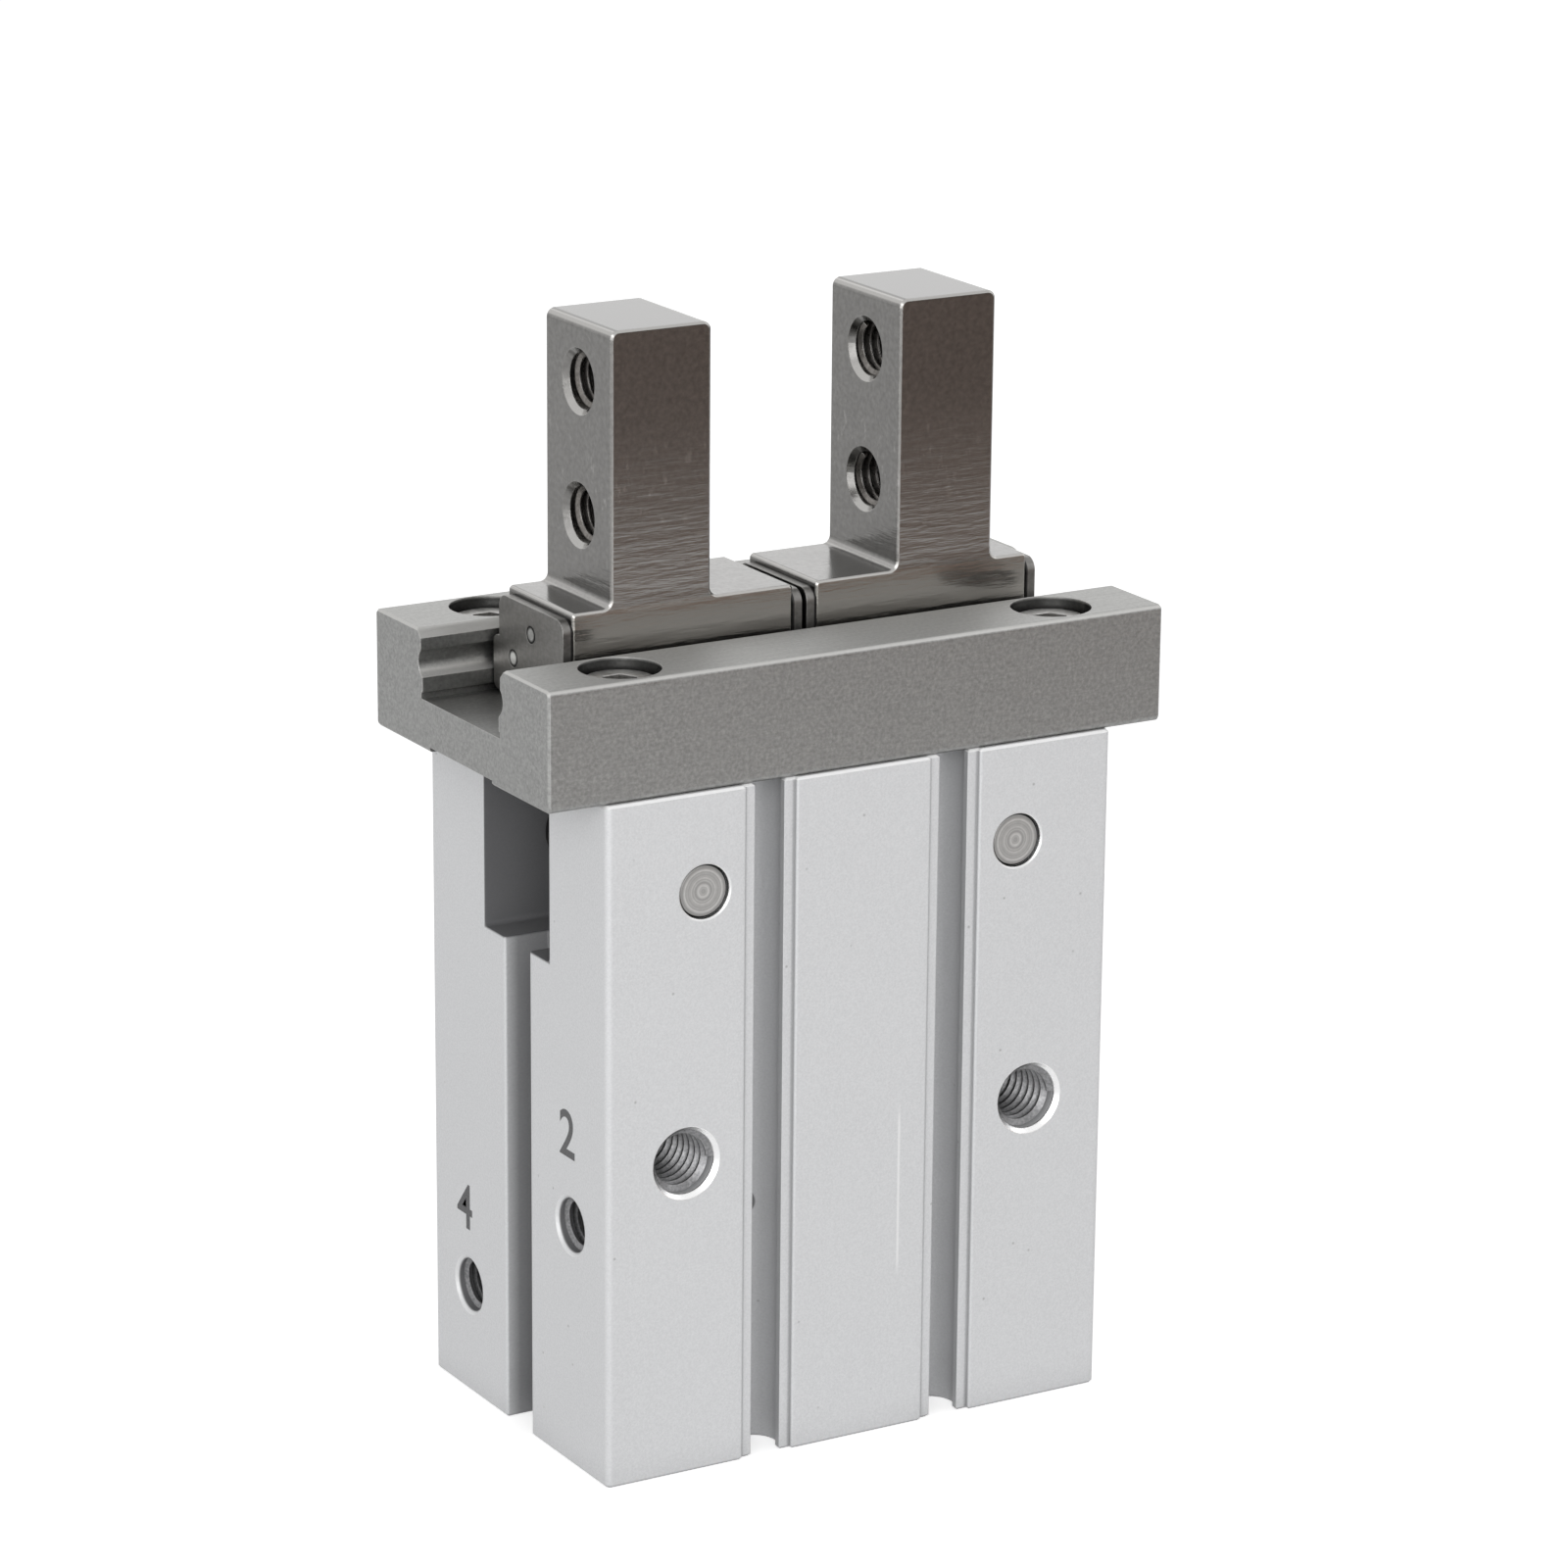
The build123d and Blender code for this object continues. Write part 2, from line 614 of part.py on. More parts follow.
# End cap with its O-ring, held in by a circlip
gasket_section = 1.5
cap_radius = bore_diameter / 2 - running
gasket_z = cap_bottom + cap_thickness / 2
with BuildPart() as head_cap:
    with BuildSketch(Plane.XY.offset(cap_bottom)):
        Circle(cap_radius)
    extrude(amount=cap_thickness)
    chamfer(head_cap.edges().filter_by(GeomType.CIRCLE), 0.4)
    with BuildSketch(Plane.XZ):
        ring_of(cap_radius - gasket_section, cap_radius + 1, gasket_z - 1.0, 2.0)
    revolve(axis=Axis.Z, mode=Mode.SUBTRACT)
    with BuildSketch(Plane.XY.offset(cap_bottom)):
        Circle(bore_diameter / 2 - 4.0)
    extrude(amount=1.0, mode=Mode.SUBTRACT)
finish(head_cap.part, "head_cap")

with BuildPart() as cap_gasket:
    with BuildSketch(Plane.XZ):
        with Locations((bore_diameter / 2 - seat - gasket_section / 2, gasket_z)):
            Circle(gasket_section / 2)
    revolve(axis=Axis.Z)
finish(cap_gasket.part, "cap_gasket")

# Circlip: an open ring with an eye at each end for the pliers
ring_outer = ring_groove_radius - side_gap
ring_opening = 40.0
eye_angle = ring_opening / 2 + 9.0
eye_radius = 1.9
eye_centre = ring_outer - ring_width - 0.7
with BuildPart() as retaining_ring:
    with BuildSketch(Plane.XY.offset(cap_bottom - ring_thickness - seat)):
        Circle(ring_outer)
        Circle(ring_outer - ring_width, mode=Mode.SUBTRACT)
        reach = 2 * ring_outer
        with BuildLine():
            Polyline(
                (0, 0),
                (reach * cos(radians(ring_opening / 2)), reach * sin(radians(ring_opening / 2))),
                (reach * cos(radians(ring_opening / 2)), -reach * sin(radians(ring_opening / 2))),
                close=True,
            )
        make_face(mode=Mode.SUBTRACT)
        with PolarLocations(eye_centre, 2, -eye_angle, 4 * eye_angle):
            Circle(eye_radius)
            Circle(0.8, mode=Mode.SUBTRACT)
    extrude(amount=ring_thickness)
finish(retaining_ring.part, "retaining_ring")

# Fingers: one is drawn and the other mirrored. A T-shaped foot runs in the guide, with
# a round-bottomed ball groove down each side and a pocket under it for the lever tip.
base_outer = base_inner + base_length
post_inner = grip_gap / 2
post_outer = post_inner + post_thickness
foot_top = guide_top - foot_drop
pocket_width = 2 * (lever_tip_radius + side_gap)
pocket_depth = lever_thickness + 0.8
rivet_z = guide_top + plate_rivet_height
rivet_places = (
    (0, rivet_z),
    (plate_rivet_spread / 2, rivet_z - plate_rivet_drop),
    (-plate_rivet_spread / 2, rivet_z - plate_rivet_drop),
)
with BuildPart() as finger_right:
    with BuildSketch(Plane.XZ):
        with BuildLine():
            Polyline(
                (base_inner, base_bottom),
                (base_outer, base_bottom),
                (base_outer, base_top),
                (post_outer, base_top),
                (post_outer, tip_z),
                (post_inner, tip_z),
                (post_inner, base_top),
                (base_inner, base_top),
                close=True,
            )
        make_face()
    extrude(amount=finger_width / 2, both=True)
    roots = finger_right.edges().filter_by(Axis.Y).filter_by(
        lambda e: abs(e.center().Z - base_top) < 1e-3 and post_inner - 1e-3 < e.center().X < post_outer + 1e-3
    )
    fillet(roots, base_root_fillet)
    fillet(finger_right.faces().sort_by(Axis.Z)[-1].edges().filter_by(Axis.Y), tip_fillet)
    base_ends = finger_right.edges().filter_by(Axis.Y).filter_by(
        lambda e: e.center().X < base_inner + 1e-3 or e.center().X > base_outer - 1e-3
    )
    fillet(base_ends.filter_by(lambda e: e.center().Z > foot_top), base_end_fillet)
    rims = finger_right.faces().filter_by(Axis.Y).edges().filter_by(lambda e: e.center().Z > foot_top)
    chamfer(rims, finger_chamfer)
    with BuildSketch(Plane.XZ):
        with Locations(((base_inner + base_outer) / 2, (base_bottom + foot_top) / 2)):
            Rectangle(base_length, foot_top - base_bottom)
    extrude(amount=base_width / 2, both=True)
    with BuildSketch(Plane.YZ.offset(base_inner)):
        with Locations((ball_row_width / 2, ball_z), (-ball_row_width / 2, ball_z)):
            Circle(ball_diameter / 2 + ball_gap)
    extrude(amount=base_length, mode=Mode.SUBTRACT)
    with BuildSketch(Plane.XY.offset(base_bottom)):
        with Locations((lever_tip_x, 0)):
            Rectangle(pocket_width, pocket_depth)
    extrude(amount=pocket_top - base_bottom, mode=Mode.SUBTRACT)
    for face_x, facing in ((post_inner, -1), (post_outer, 1)):
        with Locations(Plane(origin=(face_x, 0, tip_z), x_dir=(0, facing, 0), z_dir=(facing, 0, 0))):
            with Locations((0, -finger_hole_from_tip), (0, -finger_hole_from_tip - finger_hole_pitch)):
                CounterSinkHole(finger_hole_thread / 2, finger_hole_thread / 2 + 0.5, post_thickness / 2, 90)
    for face_x, facing in ((base_inner, -1), (base_outer, 1)):
        with Locations(Plane(origin=(face_x, 0, 0), x_dir=(0, facing, 0), z_dir=(facing, 0, 0))):
            with Locations(*rivet_places):
                Hole(plate_rivet_diameter / 2, plate_rivet_length)
finish(finger_right.part, "finger_right")

with BuildPart() as finger_left:
    mirror(finger_right.part, about=Plane.YZ)
finish(finger_left.part, "finger_left")

# Thin plates on both ends of each foot, wider below so that they keep the balls in
plate_top = base_top - plate_drop
plate_ear_width = lower_channel_width - 2 * plate_ear_gap
for name, side in sides.items():
    for end, near_face in (("inner", base_inner - plate_thickness), ("outer", base_outer)):
        with BuildPart() as end_plate:
            with BuildSketch(Plane.YZ.offset(side * near_face)):
                with Locations((0, (base_bottom + plate_top) / 2)):
                    RectangleRounded(finger_width, plate_top - base_bottom, plate_corner_radius)
                with Locations((0, base_bottom + plate_ear_height / 2)):
                    RectangleRounded(plate_ear_width, plate_ear_height, plate_ear_radius)
                with Locations(*rivet_places):
                    Circle(plate_rivet_diameter / 2 + seat, mode=Mode.SUBTRACT)
            extrude(amount=side * plate_thickness)
        finish(end_plate.part, f"end_plate_{name}_{end}")

    # Rivets that hold the two plates of one finger
    with BuildPart() as plate_rivets:
        for near_face, inward in ((base_inner - plate_thickness, 1), (base_outer + plate_thickness, -1)):
            with BuildSketch(Plane.YZ.offset(side * near_face)):
                with Locations(*rivet_places):
                    Circle(plate_rivet_diameter / 2 - seat)
            extrude(amount=side * inward * (plate_thickness + plate_rivet_length - 0.1))
    finish(plate_rivets.part, f"plate_rivets_{name}")

# Balls between each finger and the guide. They roll at half the finger's speed, so with
# the jaws closed each row stands against the outer plate.
row_room = base_length - finger_travel / 2
balls_in_row = int((row_room - side_gap) / ball_pitch)
first_ball_x = base_outer - ball_diameter / 2 - side_gap / 2
for name, side in sides.items():
    with BuildPart() as balls:
        for row_y in (-ball_row_width / 2, ball_row_width / 2):
            for index in range(balls_in_row):
                with Locations((side * (first_ball_x - index * ball_pitch), row_y, ball_z)):
                    Sphere(ball_diameter / 2)
    finish(balls.part, f"balls_{name}")

print("swing", round(degrees(swing), 3), "piston stroke", round(piston_stroke, 4))
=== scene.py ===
from math import cos, pi, radians, sin

import bpy
from mathutils import Matrix, Vector


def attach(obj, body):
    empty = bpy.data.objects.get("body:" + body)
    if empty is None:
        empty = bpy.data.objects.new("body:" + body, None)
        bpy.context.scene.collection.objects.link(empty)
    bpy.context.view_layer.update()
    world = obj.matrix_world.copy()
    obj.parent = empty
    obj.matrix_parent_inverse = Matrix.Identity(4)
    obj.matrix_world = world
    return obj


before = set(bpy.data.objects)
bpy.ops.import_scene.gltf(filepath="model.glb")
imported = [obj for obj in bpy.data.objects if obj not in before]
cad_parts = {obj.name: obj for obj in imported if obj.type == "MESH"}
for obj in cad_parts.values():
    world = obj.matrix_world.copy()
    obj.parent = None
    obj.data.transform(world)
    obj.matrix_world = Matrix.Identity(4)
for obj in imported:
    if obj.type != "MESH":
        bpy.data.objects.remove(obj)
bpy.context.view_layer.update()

# Body: one length of aluminium extrusion with four sensor grooves and a slot down each end,
# blasted and clear anodised, so it is a light matt grey with a fine speckle and a few pits.
# The mouths of the holes are cut after anodising and show bright metal, and the top edge is
# painted in that bright colour as a painted highlight.
body_light = (0.70, 0.705, 0.715)
body_dark = (0.61, 0.615, 0.625)
body_pit = (0.36, 0.36, 0.36)
body_highlight = (0.84, 0.845, 0.85)
body_shade = (0.10, 0.10, 0.105)
bare_metal_and_highlight = (0.90, 0.90, 0.90)
body_roughness = 0.5
bare_roughness = 0.25
body_metallic = 0.25
body_end = 0.026
face_y = 0.0168
top_edge = 0.0634
cavity_half = 0.0062
cavity_floor = 0.0465
slot_half = 0.0025
slot_shaded = 0.0246
groove_x = 0.0095
groove_half = 0.0021
groove_floor = 0.0044
groove_lip = 0.0014
groove_hollow_share = 0.375
recess_half = 0.00255
recess_depth = 0.0004
mouth_depth = 0.0005
rim_blur = 0.00004
wall_blur = 0.00008
mount_place = (0.018, 0.0296)
mount_mouth = 0.0034
mount_wall = 0.00302
shaft_place = (0.0162, 0.0545)
shaft_mouth = 0.0025
port_places = {"upper": (-0.0099, 0.0229), "lower": (0.0099, 0.0105)}
port_mouth = 0.0028
port_wall = 0.00252
port_bareness = 0.35
hole_shade_start = 0.0004
hole_shade_full = 0.0020
port_shade_full = 0.0004
scratch_x = 0.0041
scratch_low = 0.0146
scratch_high = 0.0316
scratch_half = 0.00005
scratch_fade = 0.002


def new_material(name):
    """A material with its shader and the piece's own coordinates ready to use."""
    material = bpy.data.materials.new(name)
    material.use_nodes = True
    tree = material.node_tree
    coords = tree.nodes.new("ShaderNodeTexCoord")
    return material, tree, tree.nodes["Principled BSDF"], coords.outputs["Object"]


def add_node(tree, kind, links=None, **settings):
    """A node of that kind, with its inputs, by name or number, set to values or linked."""
    node = tree.nodes.new(kind)
    for name, value in settings.items():
        setattr(node, name, value)
    for name, value in (links or {}).items():
        if isinstance(value, bpy.types.NodeSocket):
            tree.links.new(value, node.inputs[name])
        else:
            node.inputs[name].default_value = value
    return node


def maths(tree, operation, first, second=None):
    """One step of arithmetic on numbers that change over the surface."""
    links = {0: first} if second is None else {0: first, 1: second}
    return add_node(tree, "ShaderNodeMath", links, operation=operation).outputs["Value"]


def times(tree, first, *others):
    """A mask that is white where all of these are. A plain number thins it to that share."""
    for other in others:
        first = maths(tree, "MULTIPLY", first, other)
    return first


def either(tree, first, second):
    """A mask that is white where one of these is."""
    return maths(tree, "MAXIMUM", first, second)


def away(tree, value, place=None):
    """How far a value is from a place, or from zero, on either side of it."""
    if place is not None:
        value = maths(tree, "SUBTRACT", value, place)
    return maths(tree, "ABSOLUTE", value)


def ramp(tree, value, start, end):
    """Goes from 0 to 1 as the value goes from start to end."""
    node = add_node(
        tree, "ShaderNodeMapRange", {"Value": value, "From Min": start, "From Max": end}
    )
    return node.outputs["Result"]


def below(tree, value, limit, blur=0.0001):
    """A mask that is white where the value is under a limit, and fades just above it."""
    return ramp(tree, value, limit + blur, limit)


def above(tree, value, limit, blur=0.0001):
    """A mask that is white where the value is over a limit, and fades just below it."""
    return ramp(tree, value, limit - blur, limit)


def level(tree, factor, low, high):
    """A number that goes from low to high as the factor goes from 0 to 1."""
    node = add_node(
        tree, "ShaderNodeMapRange", {"Value": factor, "To Min": low, "To Max": high}
    )
    return node.outputs["Result"]


def shade(tree, factor, first, second):
    """Goes from the first colour to the second as the factor goes from 0 to 1."""
    node = add_node(tree, "ShaderNodeMix", {"Factor": factor}, data_type="RGBA")
    for label, colour in (("A", first), ("B", second)):
        if isinstance(colour, bpy.types.NodeSocket):
            tree.links.new(colour, node.inputs[label])
        else:
            node.inputs[label].default_value = (*colour, 1)
    return node.outputs["Result"]


def separate(tree, vector):
    """The X, Y and Z of a vector."""
    return add_node(tree, "ShaderNodeSeparateXYZ", {"Vector": vector}).outputs


def from_centre(tree, first, second, centre):
    """How far a point is from the axis of a hole that stands at that centre."""
    offset = add_node(tree, "ShaderNodeCombineXYZ", {
        "X": maths(tree, "SUBTRACT", first, centre[0]),
        "Y": maths(tree, "SUBTRACT", second, centre[1]),
    })
    length = add_node(
        tree, "ShaderNodeVectorMath", {0: offset.outputs["Vector"]}, operation="LENGTH"
    )
    return length.outputs["Value"]


def new_group(name, inputs, outputs):
    """A shader node group with those inputs and outputs."""
    group = bpy.data.node_groups.new(name, "ShaderNodeTree")
    for label, kind, value in inputs:
        socket = group.interface.new_socket(label, in_out="INPUT", socket_type=kind)
        if value is not None:
            socket.default_value = value
    for label, kind in outputs:
        group.interface.new_socket(label, in_out="OUTPUT", socket_type=kind)
    group_in = group.nodes.new("NodeGroupInput").outputs
    group_out = group.nodes.new("NodeGroupOutput").inputs
    return group, group_in, group_out


def use_group(tree, group, **values):
    """Places a node group in a material, with its inputs set or linked."""
    return add_node(tree, "ShaderNodeGroup", values, node_tree=group).outputs


def set_relief(tree, shader, height, strength, distance=0.00001, normal=None):
    """Gives the shader a fine relief that follows a mask, laid over a rounded normal."""
    links = {"Height": height, "Strength": strength, "Distance": distance}
    if normal is not None:
        links["Normal"] = normal
    bump = add_node(tree, "ShaderNodeBump", links)
    tree.links.new(bump.outputs["Normal"], shader.inputs["Normal"])


def dress(material, *nodes):
    """Gives a material to CAD nodes in place of the plain one that they came with."""
    for name in nodes:
        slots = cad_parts[name].data.materials
        slots.clear()
        slots.append(material)


# Fine grain: noise as left by blasting or, stretched along one axis, by grinding or milling.
grain, group_in, group_out = new_group(
    "grain",
    [
        ("Vector", "NodeSocketVector", None),
        ("Stretch", "NodeSocketVector", (1.0, 1.0, 1.0)),
        ("Scale", "NodeSocketFloat", 1000.0),
        ("Low", "NodeSocketFloat", 0.3),
        ("High", "NodeSocketFloat", 0.7),
    ],
    [("Mask", "NodeSocketFloat")],
)
stretched = add_node(
    grain, "ShaderNodeVectorMath", {0: group_in["Vector"], 1: group_in["Stretch"]},
    operation="MULTIPLY",
)
noise = add_node(grain, "ShaderNodeTexNoise", {
    "Vector": stretched.outputs["Vector"], "Scale": group_in["Scale"],
    "Detail": 3.0, "Roughness": 0.6,
})
grain_mask = ramp(grain, noise.outputs["Fac"], group_in["Low"], group_in["High"])
grain.links.new(grain_mask, group_out["Mask"])

# Pits: rare small round spots, where the blasting has picked out a flaw in the metal.
pits, group_in, group_out = new_group(
    "pits",
    [
        ("Vector", "NodeSocketVector", None),
        ("Scale", "NodeSocketFloat", 250.0),
        ("Size", "NodeSocketFloat", 0.035),
    ],
    [("Mask", "NodeSocketFloat")],
)
cells = add_node(
    pits, "ShaderNodeTexVoronoi", {"Vector": group_in["Vector"], "Scale": group_in["Scale"]}
)
pits.links.new(ramp(pits, cells.outputs["Distance"], group_in["Size"], 0.0), group_out["Mask"])

# Edge highlights: a painted highlight, white on a sharp outer edge and, where asked, on a
# slanting or rounded one that faces up, where such edges catch the light, and a normal that
# rounds a sharp edge off by the same radius.
rim_clearance = 0.0008
open_enough = (0.75, 0.95)
slanted_enough = (0.96, 0.85)
upward_enough = (0.2, 0.5)
edge_highlights, group_in, group_out = new_group(
    "edge_highlights",
    [
        ("Radius", "NodeSocketFloat", 0.00012),
        ("Reach", "NodeSocketFloat", 0.35),
        ("Slants", "NodeSocketFloat", 0.0),
    ],
    [("Mask", "NodeSocketFloat"), ("Normal", "NodeSocketVector")],
)
rounded = add_node(edge_highlights, "ShaderNodeBevel", {"Radius": group_in["Radius"]}, samples=4)
flat = add_node(edge_highlights, "ShaderNodeNewGeometry").outputs["Normal"]
bend = add_node(
    edge_highlights, "ShaderNodeVectorMath", {0: rounded.outputs["Normal"], 1: flat},
    operation="DOT_PRODUCT",
)
open_air = add_node(
    edge_highlights, "ShaderNodeAmbientOcclusion", {"Distance": rim_clearance}, samples=4
)
sharp = ramp(edge_highlights, bend.outputs["Value"], 1.0, maths(edge_highlights, "SUBTRACT", 1.0, group_in["Reach"]))
facing = separate(edge_highlights, flat)
squareness = either(
    edge_highlights, away(edge_highlights, facing["X"]), either(edge_highlights, away(edge_highlights, facing["Y"]), away(edge_highlights, facing["Z"]))
)
slanting = times(
    edge_highlights, ramp(edge_highlights, squareness, *slanted_enough), ramp(edge_highlights, facing["Z"], *upward_enough),
    group_in["Slants"],
)
highlit_edges = times(
    edge_highlights, either(edge_highlights, sharp, slanting), ramp(edge_highlights, open_air.outputs["AO"], *open_enough)
)
edge_highlights.links.new(highlit_edges, group_out["Mask"])
edge_highlights.links.new(rounded.outputs["Normal"], group_out["Normal"])

# Hollows: white deep in a slot, hole or inside corner, where little light comes.
hollows, group_in, group_out = new_group(
    "hollows",
    [
        ("Depth", "NodeSocketFloat", 0.004),
        ("Low", "NodeSocketFloat", 0.6),
        ("High", "NodeSocketFloat", 0.05),
    ],
    [("Mask", "NodeSocketFloat")],
)
closed_in = add_node(
    hollows, "ShaderNodeAmbientOcclusion", {"Distance": group_in["Depth"]}, samples=6
)
hollow_mask = ramp(hollows, closed_in.outputs["AO"], group_in["Low"], group_in["High"])
hollows.links.new(hollow_mask, group_out["Mask"])

anodised, tree, shader, place = new_material("anodised_aluminium")
speckle = use_group(tree, grain, Vector=place, Scale=5200.0)["Mask"]
cloud = use_group(tree, grain, Vector=place, Scale=90.0, Low=0.35, High=0.65)["Mask"]
pitted = use_group(tree, pits, Vector=place, Scale=300.0, Size=0.055)["Mask"]
edge = use_group(tree, edge_highlights, Radius=0.00016, Reach=0.3)
hollow = use_group(tree, hollows, Depth=0.006, Low=0.7, High=0.05)["Mask"]
axes = separate(tree, place)
height = axes["Z"]
along = away(tree, axes["X"])
across = away(tree, axes["Y"])
depth = maths(tree, "SUBTRACT", face_y, across)

# Painted shade inside the body: the lever cavity, the end slots, the sensor grooves and the
# steps of their recesses.
in_cavity = times(
    tree, below(tree, across, cavity_half), above(tree, height, cavity_floor, 0.0002)
)
in_slot = times(tree, below(tree, across, slot_half), ramp(tree, along, body_end, slot_shaded))
from_groove = away(tree, along, groove_x)
in_groove = times(
    tree, below(tree, from_groove, groove_half), above(tree, depth, recess_depth + 0.0001)
)
groove_wall = times(tree, in_groove, ramp(tree, depth, groove_floor, groove_lip))
groove_step = times(
    tree, below(tree, away(tree, from_groove, recess_half), 0.0001, 0.0002),
    above(tree, depth, 0.0002, 0.00012), below(tree, depth, recess_depth, 0.00005),
)

# Holes: a bright ring round each mouth, and painted shade on a wall that darkens inwards.
from_mount = from_centre(tree, along, height, mount_place)
from_shaft = from_centre(tree, along, height, shaft_place)
mouths = times(
    tree, above(tree, across, face_y - mouth_depth),
    either(
        tree, below(tree, from_mount, mount_mouth, rim_blur),
        below(tree, from_shaft, shaft_mouth, 0.0002),
    ),
)
in_hole = times(
    tree, below(tree, from_mount, mount_wall, wall_blur),
    ramp(tree, across, face_y - hole_shade_start, face_y - hole_shade_full),
)
for centre in port_places.values():
    from_port = from_centre(tree, axes["Y"], height, centre)
    port_rim = times(
        tree, below(tree, from_port, port_mouth, rim_blur),
        ramp(tree, axes["X"], mouth_depth - body_end, -body_end), port_bareness,
    )
    mouths = either(tree, mouths, port_rim)
    in_port = times(
        tree, below(tree, from_port, port_wall, wall_blur),
        ramp(tree, axes["X"], -body_end, port_shade_full - body_end),
        below(tree, axes["X"], 0.0, 0.001),
    )
    in_hole = either(tree, in_hole, in_port)

# One thin scratch down the front face, between the two grooves and right of the middle.
scratch = times(
    tree, below(tree, away(tree, axes["X"], scratch_x), scratch_half, 0.00013),
    above(tree, height, scratch_low + scratch_fade, scratch_fade),
    below(tree, height, scratch_high - scratch_fade, scratch_fade),
    below(tree, axes["Y"], 0.0003 - face_y, 0.0005),
)

grey = shade(tree, speckle, body_dark, body_light)
grey = shade(tree, times(tree, cloud, 0.12), grey, body_light)
grey = shade(tree, pitted, grey, body_pit)
grey = shade(tree, times(tree, scratch, 0.6), grey, bare_metal_and_highlight)
# Painted highlights on the outer edges.
grey = shade(tree, times(tree, edge["Mask"], 0.5), grey, body_highlight)
groove_open = level(tree, in_groove, 1.0, groove_hollow_share)
# Painted shade in the grooves, their steps, the end slots, the hollows, the lever cavity and the
# holes.
for mask, share in (
    (groove_wall, 0.4), (groove_step, 0.4), (in_slot, 0.62),
    (times(tree, hollow, groove_open), 0.4), (in_cavity, 0.85), (in_hole, 0.85),
):
    grey = shade(tree, times(tree, mask, share), grey, body_shade)
# Bright metal at the mouths, and a painted highlight along the top edge.
bare_and_top_highlight = either(tree, mouths, above(tree, height, top_edge, 0.00005))
tree.links.new(shade(tree, bare_and_top_highlight, grey, bare_metal_and_highlight), shader.inputs["Base Color"])
set_relief(tree, shader, speckle, 0.3, normal=edge["Normal"])
tree.links.new(level(tree, mouths, body_metallic, 1.0), shader.inputs["Metallic"])
tree.links.new(level(tree, mouths, body_roughness, bare_roughness), shader.inputs["Roughness"])
dress(anodised, "body")

# Screw threads of the body's mounting holes and air ports: tapped into the aluminium, M6 in
# both faces and the underside and M5 in the ports, so each hole shows its row of ridges.
mount_hole = dict(radius=0.003, pitch=0.001, start=0.0005, end=0.0114)
port_hole = dict(radius=0.0025, pitch=0.0008, start=0.0004, end=0.0057)
thread_steps = 28
ridge_depth = 0.54
ridge_width = 0.84
crest_width = 0.2
ridge_inset = 0.25
smooth_angle = radians(20)
merge_distance = 1e-7
cut_dark = (0.16, 0.16, 0.165)
cut_light = (0.32, 0.32, 0.325)
cut_shade = (0.03, 0.03, 0.03)


def cut_thread(name, radius, pitch, start, end, mouth, inward):
    """Winds a closed ridge of thread round the wall of a hole, from its mouth inwards."""
    bpy.ops.object.select_all(action="DESELECT")
    bpy.ops.mesh.primitive_plane_add(size=1.0, location=(0, 0, 0), rotation=(pi / 2, 0, 0))
    ridge = bpy.context.object
    ridge.name = name
    ridge.scale = (ridge_depth * pitch, ridge_width * pitch, 1)
    bpy.ops.object.transform_apply(location=False, rotation=True, scale=True)
    bpy.ops.object.mode_set(mode="EDIT")
    bpy.ops.mesh.select_all(action="DESELECT")
    bpy.ops.object.mode_set(mode="OBJECT")
    for vertex in ridge.data.vertices:
        vertex.select = vertex.co.x < 0
    bpy.ops.object.mode_set(mode="EDIT")
    bpy.ops.mesh.select_mode(type="VERT")
    bpy.ops.transform.resize(value=(1, 1, crest_width))
    bpy.ops.mesh.select_all(action="SELECT")
    bpy.ops.transform.translate(
        value=(radius - ridge_inset * pitch, 0, -start - ridge_width / 2 * pitch)
    )
    bpy.ops.mesh.delete(type="ONLY_FACE")
    bpy.ops.object.mode_set(mode="OBJECT")
    turns = (end - start) / pitch - ridge_width
    winding = ridge.modifiers.new("winding", "SCREW")
    winding.axis = "Z"
    winding.angle = 2 * pi * turns
    winding.screw_offset = -pitch * turns
    winding.steps = round(thread_steps * turns)
    winding.render_steps = winding.steps
    bpy.ops.object.modifier_apply(modifier="winding")
    bpy.ops.object.mode_set(mode="EDIT")
    bpy.ops.mesh.select_all(action="SELECT")
    bpy.ops.mesh.remove_doubles(threshold=merge_distance)
    bpy.ops.mesh.select_all(action="DESELECT")
    bpy.ops.mesh.select_non_manifold(extend=False)
    bpy.ops.mesh.fill()
    bpy.ops.mesh.select_all(action="SELECT")
    bpy.ops.mesh.normals_make_consistent(inside=False)
    bpy.ops.object.mode_set(mode="OBJECT")
    ridge.rotation_euler = Vector(inward).to_track_quat("-Z", "Y").to_euler()
    ridge.location = mouth
    bpy.ops.object.transform_apply(location=True, rotation=True, scale=True)
    bpy.ops.object.shade_smooth_by_angle(angle=smooth_angle)
    return ridge


def set_finish(tree, shader, colour, metallic, roughness):
    """Gives the shader its changing colour, and says how metallic and how rough it is."""
    tree.links.new(colour, shader.inputs["Base Color"])
    shader.inputs["Metallic"].default_value = metallic
    shader.inputs["Roughness"].default_value = roughness


thread_places = []
for side, x in (("left", -mount_place[0]), ("right", mount_place[0])):
    for face, facing in (("front", -1), ("back", 1)):
        mouth = (x, facing * face_y, mount_place[1])
        thread_places.append((f"mount_thread_{face}_{side}", mouth, (0, -facing, 0), mount_hole))
    thread_places.append((f"mount_thread_bottom_{side}", (x, 0, 0), (0, 0, 1), mount_hole))
for name, (y, z) in port_places.items():
    thread_places.append((f"port_thread_{name}", (-body_end, y, z), (1, 0, 0), port_hole))

